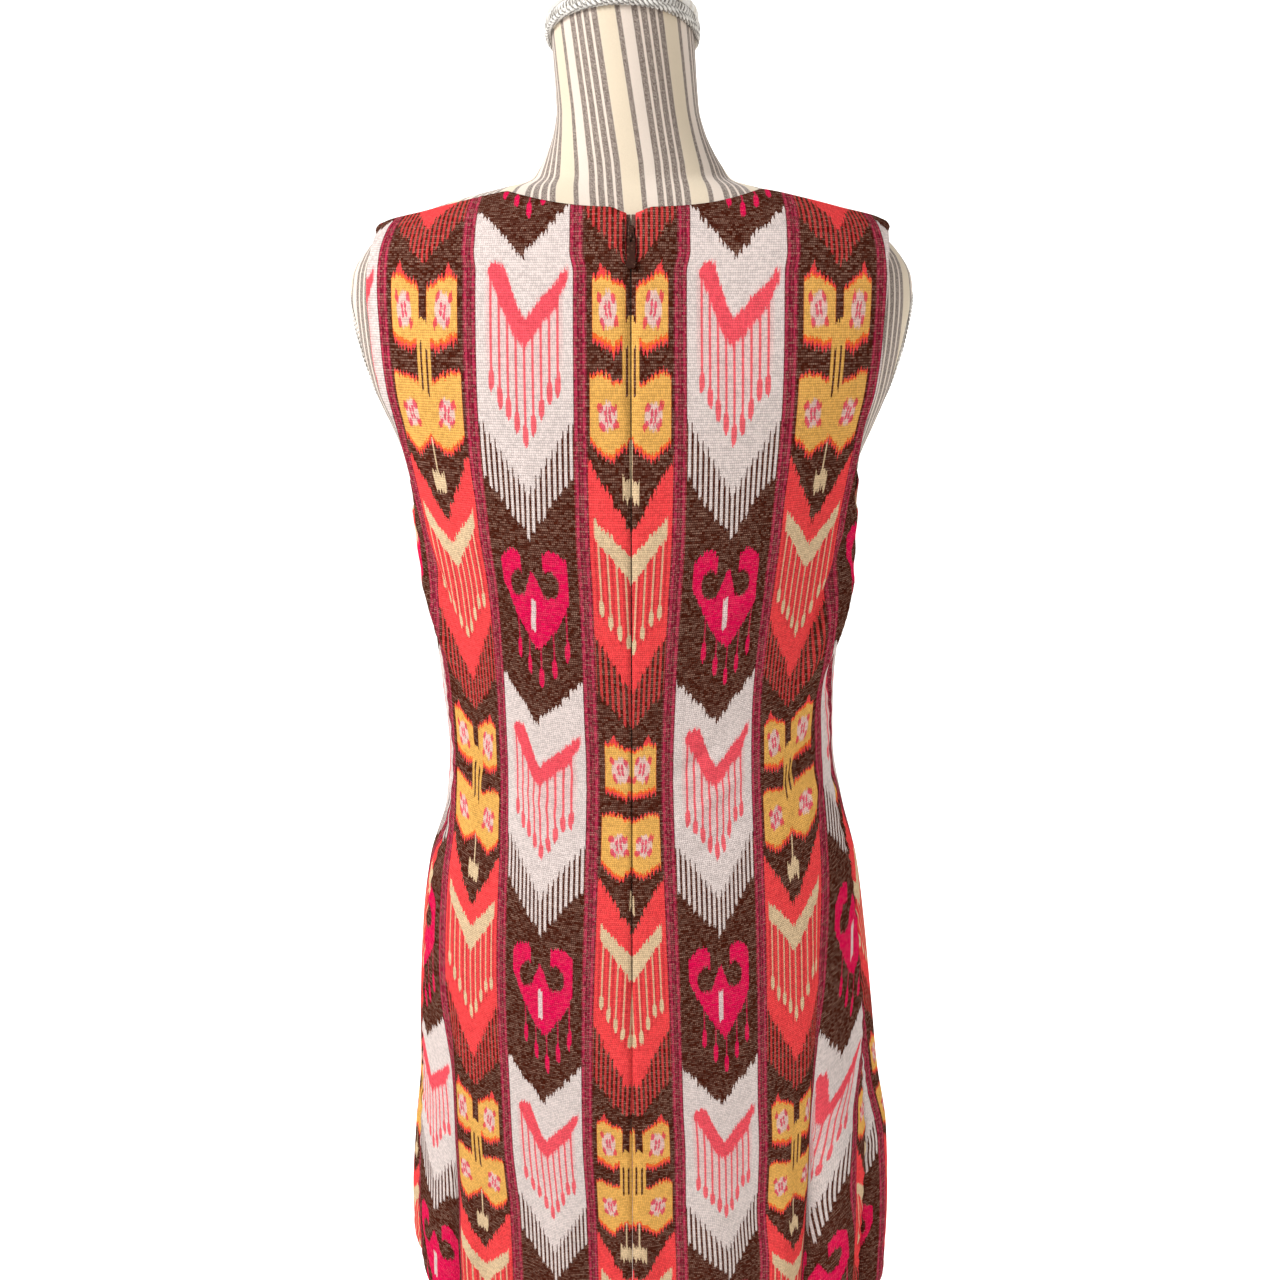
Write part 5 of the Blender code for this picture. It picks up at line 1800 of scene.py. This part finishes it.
@dataclass
class ZipTape:
    """The invisible zip's two tapes behind the backs' edges, with the coil where it shows."""

    cloth: DressCloth
    material: Material
    width: float = 0.012
    length: float = 0.56
    edge: float = 0.0003
    thickness: float = 0.001
    lines: int = 130
    columns: int = 6
    inward_share: float = 0.09
    coil_radius: float = 0.00042
    coil_pitch: float = 0.0011
    coil_end: float = 1.3
    coil_steps: int = 8
    wire_radius: float = 0.00018
    wire_sides: int = 5

    def _rails(self, side: Side) -> tuple[Array, Array, Array]:
        """The back's edge line, and the directions inwards and out of the cloth along it."""
        top = float(self.cloth.tops(np.array([0.0]), side, Half.BACK)[0])
        height = np.linspace(top, self.cloth.zip_end_height, self.lines)
        first = self.cloth.points(np.zeros(self.lines), side, Half.BACK, height)
        second = self.cloth.points(np.full(self.lines, self.inward_share), side, Half.BACK, height)
        return first, unit(second - first), self.cloth.body.normals(first)

    def build(self) -> list[Object]:
        """Makes both tapes."""
        made = []
        for side in Side:
            label = side.name.lower()
            line, across, out = self._rails(side)
            start = (self.edge - np.abs(line[:, 0]))[:, None]
            steps = np.linspace(0, self.width, self.columns)
            inset = out * -(CLOTH_THICKNESS + FIT_GAP)
            points = np.stack([line + inset + across * (start + step) for step in steps], axis=1)
            name = f"zip_tape_{label}"
            obj = mesh_object(f"{name}_cloth", points, grid_faces(*points.shape[:2], flip=side is Side.RIGHT))
            lay_uvs(obj, "tape", flat_grid(steps, running_length(line)))
            thicken(obj, "tape thickness", self.thickness)
            finished(obj, self.material, "zip_tape", name)
            made += [obj, self._coil(f"zip_coil_{label}", line, across, inset, start)]
        return made

    def _coil(self, name: str, line: Array, across: Array, inset: Array, start: Array) -> Object:
        """The rounded teeth along one tape's edge, above where the backs cover it.

        Args:
            name: the piece's name.
            line: the back's edge line.
            across: the direction inwards along it.
            inset: how far behind the line the tape lies.
            start: how far inwards the tape starts.

        Returns:
            The piece.
        """
        centre = line + inset + across * (start + self.coil_radius * 1.3)
        lengths = running_length(centre)
        end = float(np.interp(-self.coil_end, -centre[:, 2], lengths))
        t = np.linspace(0.001, end, int(end / self.coil_pitch) * self.coil_steps)
        out, side = unit(read_along(t, lengths, -inset)), read_along(t, lengths, across)
        phase = 2 * math.pi * t / self.coil_pitch
        helix = read_along(t, lengths, centre) + side * (np.cos(phase) * self.coil_radius)[:, None]
        helix = helix + out * (np.sin(phase) * self.coil_radius * 0.5)[:, None]
        points, faces = sweep(helix, side, (self.wire_radius, self.wire_radius), self.wire_sides)
        obj = mesh_object(name, points, faces[: (len(helix) - 1) * self.wire_sides])
        lay_uvs(obj, "tape", flat_grid(np.zeros(self.wire_sides), t))
        return finished(obj, self.material, "zip_tape")


# ======== the form
def neck_lean(height: Array) -> Array:
    """How far the neck's centre lies towards the wearer's left at a height."""
    return NECK_LEAN * np.maximum(height - NECK_BASE_HEIGHT, 0.0) / (NECK_TOP_HEIGHT - NECK_BASE_HEIGHT)


def arm_plane(side: Side) -> tuple[Vector, Vector]:
    """The middle of the flat that an arm plate covers, and its direction outwards."""
    x, y, z = ARM_PLATE_CENTRE
    out = Vector((side.value * math.cos(ARM_PLATE_TILT), 0, -math.sin(ARM_PLATE_TILT)))
    return Vector((side.value * x, y, z)), out


@dataclass
class FormTorso:
    """The padded body in its striped cover."""

    material: Material
    sides: int = 112
    stripe_zero: float = 0.0035
    stripe_zero_height: float = 1.475
    stripe_slant: float = 0.092
    slant_end_height: float = 1.34
    right_arm_shift: float = 0.024
    shift_reach: Pair = (0.11, 0.15)
    shift_heights: Pair = (1.32, 1.35)
    # Lines of points: from each height to the next, and how many up to there.
    lines: tuple = ((TORSO_BOTTOM_HEIGHT, 33), (1.19, 23), (1.33, 33), (1.4, 21), (1.505, 1))
    body: SectionedBody = field(
        default_factory=lambda: SectionedBody(TORSO_ROWS + SHOULDER_ROWS + NECK_ROWS)
    )

    def build(self) -> Object:
        """Makes the body, cut flat at the arms and at the sloping top of the neck."""
        stretches = zip(self.lines, self.lines[1:])
        heights = [np.linspace(low, high, count, endpoint=False) for (low, count), (high, _) in stretches]
        heights = np.append(np.concatenate(heights), self.lines[-1][0])
        turns = full_turn(self.sides)
        angle = np.where(turns <= math.pi, turns, 2 * math.pi - turns)
        levels, angles = np.meshgrid(heights, angle, indexing="ij")
        section = self.body.section(levels)
        left, y = section_xy(section, Side.LEFT, angles)
        right, _ = section_xy(section, Side.RIGHT, angles)
        x = np.where(turns[None, :] <= math.pi, left, right) + neck_lean(levels)
        points = np.stack([x, y, levels], axis=-1)
        obj = mesh_object("form_torso_cover", points, grid_faces(*levels.shape, wrap=True))
        builder = bmesh.new()
        builder.from_mesh(obj.data)

        def close() -> None:
            """Closes every open rim with a face."""
            rims = [edge for edge in builder.edges if edge.is_boundary]
            bmesh.ops.holes_fill(builder, edges=rims, sides=0)

        close()
        neck_normal = Vector((0, -math.sin(NECK_TOP_SLOPE), math.cos(NECK_TOP_SLOPE)))
        planes = [(Vector((0, 0, NECK_TOP_HEIGHT)), neck_normal), *(arm_plane(side) for side in Side)]
        for spot, normal in planes:
            everything = builder.verts[:] + builder.edges[:] + builder.faces[:]
            bmesh.ops.bisect_plane(
                builder, geom=everything, plane_co=spot, plane_no=normal, clear_outer=True
            )
            close()
        bmesh.ops.recalc_face_normals(builder, faces=builder.faces)
        builder.to_mesh(obj.data)
        builder.free()
        obj.data.shade_smooth()
        obj.data.set_sharp_from_angle(angle=TORSO_CREASE)
        self._lay_stripes(obj)
        finished(obj, self.material, "ticking", "form_torso")
        return obj

    def stripe_place(self, points: Array, sign: Array) -> Array:
        """The flat place on the cover of points on the body.

        Args:
            points: the points.
            sign: above 0 on the wearer's left, below 0 on the right.

        Returns:
            Across and down for each point.
        """
        x = points[:, 0] - neck_lean(points[:, 2])
        left, right, back, front, squareness = np.moveaxis(self.body.section(points[:, 2]), -1, 0)
        half = np.where(sign > 0, left, right)
        depth = np.where(points[:, 1] >= 0, back, front)
        sine = np.minimum(np.abs(x) / half, 1.2) ** (squareness / 2)
        cosine = np.minimum(np.abs(points[:, 1]) / depth, 1.2) ** (squareness / 2)
        angle = np.arctan2(sine, np.copysign(cosine, points[:, 1]))
        round_it = self.body.length_round(Side.LEFT, angle, points[:, 2])
        height = np.maximum(points[:, 2], self.slant_end_height)
        slant = self.stripe_slant * (self.stripe_zero_height - height)
        low, high = self.shift_heights
        arm = ease(round_it, *self.shift_reach) * ease(-points[:, 2], -high, -low) * (sign < 0)
        across = self.stripe_zero - sign * round_it - slant - self.right_arm_shift * arm
        return np.stack([across, points[:, 2]], axis=-1)

    def _lay_stripes(self, obj: Object) -> None:
        """Lays the stripes face by face, so that they part cleanly at the centre front."""
        mesh = obj.data
        corners = np.zeros(len(mesh.loops), np.int32)
        mesh.loops.foreach_get("vertex_index", corners)
        points = np.array([v.co for v in mesh.vertices])
        totals = np.array([p.loop_total for p in mesh.polygons])
        centres = np.array([p.center for p in mesh.polygons])
        sign = np.repeat(np.where(centres[:, 0] - neck_lean(centres[:, 2]) >= 0, 1.0, -1.0), totals)
        places = self.stripe_place(points[corners], sign)
        layer = mesh.uv_layers.new(name="stripes")
        layer.data.foreach_set("uv", places.astype(np.float32).ravel())


@dataclass
class Plait:
    """A flat plait of three cords round a closed line."""

    material: Material
    half_width: float
    cord_radius: float
    depth: float
    pitch: float
    steps: int = 14
    cords: int = 3
    cord_sides: int = 10
    flatness: float = 0.8

    def build(self, name: str, node: str, line: Array, up: Array, out: Array) -> Object:
        """Makes the plait.

        Args:
            name: the piece's name.
            node: the CAD node that it replaces.
            line: the closed line of its middle.
            up: direction across the plait at each point.
            out: direction out of the form at each point.

        Returns:
            The piece.
        """
        lengths = running_length(np.concatenate([line, line[:1]]))
        turns = round(lengths[-1] / self.pitch)
        t = np.linspace(0, lengths[-1], turns * self.steps, endpoint=False)

        def along(values: Array) -> Array:
            """Values at even steps along the line."""
            return read_along(t, lengths, np.concatenate([values, values[:1]]))

        middle, ups, outs = along(line), along(up), along(out)
        reach = self.half_width - self.cord_radius
        all_points, all_faces = [], []
        for cord in range(self.cords):
            phase = 2 * math.pi * (t / lengths[-1] * turns + cord / self.cords)
            path = middle + ups * (np.sin(phase) * reach)[:, None]
            path = path + outs * (np.sin(2 * phase) * self.depth)[:, None]
            radii = (self.cord_radius * self.flatness, self.cord_radius)
            points, faces = sweep(path, outs, radii, self.cord_sides)
            all_faces.append(faces + cord * len(t) * self.cord_sides)
            all_points.append(points)
        obj = mesh_object(name, np.concatenate(all_points), np.concatenate(all_faces))
        girth = np.linspace(0, 2 * math.pi * self.cord_radius, self.cord_sides)
        lay_uvs(obj, "cord", np.concatenate([flat_grid(girth, t)] * self.cords))
        return finished(obj, self.material, "braid", node)


@dataclass
class FormTrims:
    """The braids round the neck and the arms, and the covered arm plates."""

    ticking: Material
    cord: Material
    neck_braid_height: float = 0.0105
    neck_braid_thickness: float = 0.003
    plate_half_height: float = 0.04
    plate_half_depth: float = 0.0315
    plate_thickness: float = 0.003
    plate_dome: float = 0.0022
    arm_braid_width: float = 0.0065
    arm_braid_thickness: float = 0.004
    line_points: int = 180
    plate_sides: int = 72
    stripe_shift: float = 0.0135

    def build(self) -> list[Object]:
        """Makes every trim."""
        made = [self._neck_braid()]
        for side in Side:
            made += [self._arm_plate(side), self._arm_braid(side)]
        return made

    def _neck_braid(self) -> Object:
        """The braid round the sloping top of the neck."""
        turn = full_turn(self.line_points)
        stand = FIT_GAP + self.neck_braid_thickness / 2
        long_radius = NECK_RADIUS * (1 / math.cos(NECK_TOP_SLOPE))
        level = -(self.neck_braid_height + FIT_GAP) / 2
        place = Matrix.Translation((0, 0, NECK_TOP_HEIGHT)) @ Matrix.Rotation(NECK_TOP_SLOPE, 4, "X")
        line = []
        for x, y in zip((NECK_RADIUS + stand) * np.cos(turn), (long_radius + stand) * np.sin(turn)):
            point = place @ Vector((x, y + level * math.tan(NECK_TOP_SLOPE), level))
            point.x += float(neck_lean(np.array(point.z)))
            line.append(point)
        out = np.stack([np.cos(turn), np.sin(turn), np.zeros_like(turn)], axis=-1)
        up = np.tile([0.0, 0.0, 1.0], (self.line_points, 1))
        plait = Plait(self.cord, self.neck_braid_height / 2, 0.0015, depth=0.0014, pitch=0.0105)
        return plait.build("form_neck_braid_plait", "form_neck_braid", np.array(line), up, out)

    def _arm_place(self, side: Side) -> Matrix:
        """An arm plate's place: local Z outwards, local Y up along the plate."""
        spot, out = arm_plane(side)
        up = Vector((side.value * math.sin(ARM_PLATE_TILT), 0, math.cos(ARM_PLATE_TILT)))
        turn = Matrix((up.cross(out), up, out)).transposed()
        return Matrix.Translation(spot) @ turn.to_4x4()

    def _oval(self, turn: Array, out: float, level: float) -> Array:
        """Points round an arm plate, this far outside its edge and above its flat."""
        x, y = (self.plate_half_depth + out) * np.cos(turn), (self.plate_half_height + out) * np.sin(turn)
        return np.stack([x, y, np.full(len(turn), level)], axis=-1)

    def _arm_plate(self, side: Side) -> Object:
        """A slightly domed plate with the ticking drawn over its edge."""
        sides, turn = self.plate_sides, full_turn(self.plate_sides)
        top = FIT_GAP + self.plate_thickness
        # Rings of points from the flat up: how far outside the edge, and the level.
        rings = [(0.0, FIT_GAP), (0.0, top - 0.0012), (-0.0005, top - 0.0004), (-0.0016, top)]
        rings += [(-0.006 * k, top + self.plate_dome * (1 - (1 - k / 6) ** 2)) for k in range(1, 6)]
        points = np.array([self._oval(turn, out, level) for out, level in rings])
        faces = grid_faces(len(rings), sides, flip=True, wrap=True).tolist()
        faces += [list(range(sides))[::-1], [(len(rings) - 1) * sides + k for k in range(sides)]]
        name = f"form_arm_plate_{side.name.lower()}"
        obj = mesh_object(f"{name}_cover", points, faces)
        lay_uvs(obj, "stripes", points[..., :2] + (self.stripe_shift, 0.0))
        obj.data.transform(self._arm_place(side))
        obj.data.set_sharp_from_angle(angle=ARM_PLATE_CREASE)
        return finished(obj, self.ticking, "ticking", name)

    def _arm_braid(self, side: Side) -> Object:
        """The braid round an arm plate's edge."""
        turn, place = full_turn(self.line_points), self._arm_place(side)
        stand, level = FIT_GAP + self.arm_braid_width / 2, FIT_GAP + self.arm_braid_thickness / 2
        line = np.array([place @ Vector(point) for point in self._oval(turn, stand, level)])
        turned = place.to_3x3()
        across = np.array([turned @ Vector((math.cos(t), math.sin(t), 0)) for t in turn])
        out = np.tile(np.array(turned @ Vector((0, 0, 1))), (self.line_points, 1))
        plait = Plait(self.cord, self.arm_braid_width / 2, 0.0012, depth=0.0008, pitch=0.0095)
        name = f"form_arm_braid_{side.name.lower()}"
        return plait.build(f"{name}_plait", name, line, across, out)


# ======== the studio
@dataclass
class Studio:
    """Plain pale floor, soft light and the camera at the photograph's angle."""

    focal_length: float = 37.5
    camera_place: Three = (-0.006, 1.015, 1.32)
    camera_drop: float = math.atan(0.284)
    floor_radius: float = 6.0
    cove_radius: float = 2.2
    cove_height: float = 5.2
    floor_sides: int = 96
    bend_steps: int = 14
    sensor_width: float = 36.0
    clip_start: float = 0.05
    sky_strength: float = 0.45
    aim_height: float = 1.25
    # Name, place, size and power of each light.
    softboxes: tuple = (
        ("key_light", (1.5, 1.15, 2.5), 0.7, 57.0),
        ("fill_light", (-2.0, 2.6, 1.8), 2.0, 14.0),
        ("front_light", (0.8, -2.8, 2.4), 2.4, 60.0),
    )

    def build(self, floor_material: Material) -> None:
        """Sets up everything round the object."""
        bpy.context.scene.view_settings.view_transform = "Standard"
        self._camera()
        self._floor(floor_material)
        world = bpy.data.worlds.new("studio")
        world.use_nodes = True
        sky = world.node_tree.nodes["Background"]
        sky.inputs["Color"].default_value = (1.0, 1.0, 1.0, 1.0)
        sky.inputs["Strength"].default_value = self.sky_strength
        bpy.context.scene.world = world
        for name, spot, size, power in self.softboxes:
            self._softbox(name, Vector(spot), size, power)

    def _camera(self) -> None:
        """Sets up the camera."""
        camera = bpy.data.objects.new("camera", bpy.data.cameras.new("camera"))
        camera.data.lens = self.focal_length
        camera.data.sensor_width = self.sensor_width
        camera.data.clip_start = self.clip_start
        camera.location = self.camera_place
        camera.rotation_euler = (math.pi / 2 - self.camera_drop, 0.0, math.pi)
        bpy.context.scene.collection.objects.link(camera)
        bpy.context.scene.camera = camera

    def _floor(self, material: Material) -> None:
        """Makes the round floor, which bends up into a wall at its edge."""
        turn = full_turn(self.floor_sides)
        bend = np.linspace(0, math.pi / 2, self.bend_steps)
        reach = np.concatenate([[0.02, 1.0, 3.0], self.floor_radius + self.cove_radius * np.sin(bend)])
        level = np.concatenate([[0, 0, 0], self.cove_radius * (1 - np.cos(bend))])
        reach, level = np.append(reach, reach[-1]), np.append(level, self.cove_height)
        rings = np.stack([reach[:, None] * np.cos(turn), reach[:, None] * np.sin(turn)], axis=-1)
        rings = np.concatenate([rings, np.broadcast_to(level[:, None, None], (*rings.shape[:2], 1))], axis=-1)
        faces = grid_faces(len(reach), self.floor_sides, flip=True, wrap=True).tolist()
        floor = mesh_object("studio_floor", rings, faces + [list(range(self.floor_sides))])
        floor.data.materials.append(material)

    def _softbox(self, name: str, spot: Vector, size: float, power: float) -> None:
        """A square soft light that faces the upper half of the dress.

        Args:
            name: its name.
            spot: where it stands.
            size: the length of its sides.
            power: its power in watts.
        """
        light = bpy.data.lights.new(name, "AREA")
        light.shape, light.size, light.energy = "SQUARE", size, power
        obj = bpy.data.objects.new(name, light)
        obj.location = spot
        aim = Vector((0, 0, self.aim_height)) - spot
        obj.rotation_mode = "QUATERNION"
        obj.rotation_quaternion = aim.to_track_quat("-Z", "Y")
        bpy.context.scene.collection.objects.link(obj)


def dress_node(frame: dict, node: str, material: Material) -> None:
    """Gives a carried-over solid its finish."""
    obj = frame["nodes"][node]
    if not obj.material_slots:
        obj.data.materials.append(material)
    for slot in obj.material_slots:
        slot.link = "OBJECT"
        slot.material = material
    LOG.info("%s: kept solid", node)


def main() -> None:
    """Builds every piece in order."""
    logging.basicConfig(level=logging.INFO, format="%(message)s")
    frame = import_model()
    ikat = IkatCloth().material()
    ticking = Ticking().material()
    cord = Braid().material()
    wood = WhitewashedWood().material()
    board = WhitewashedWood("whitewashed_board", (1.0, 0.1, 1.0)).material()
    tape = ZipTapeCloth().material()
    enamel = EnamelledMetal().material()
    cloth = DressCloth()
    DressPanels(cloth, PrintLayout(), ikat).build()
    ZipTape(cloth, tape).build()
    FormTorso(ticking).build()
    FormTrims(ticking, cord).build()
    for node in ("form_neck_cap", "stand_foot_collar", "stand_socket", "stand_pole"):
        dress_node(frame, node, wood)
    dress_node(frame, "stand_base", board)
    for node in ("zip_slider", "zip_pull"):
        dress_node(frame, node, enamel)
    Studio().build(StudioPaper().material())


if __name__ == "__main__":
    main()
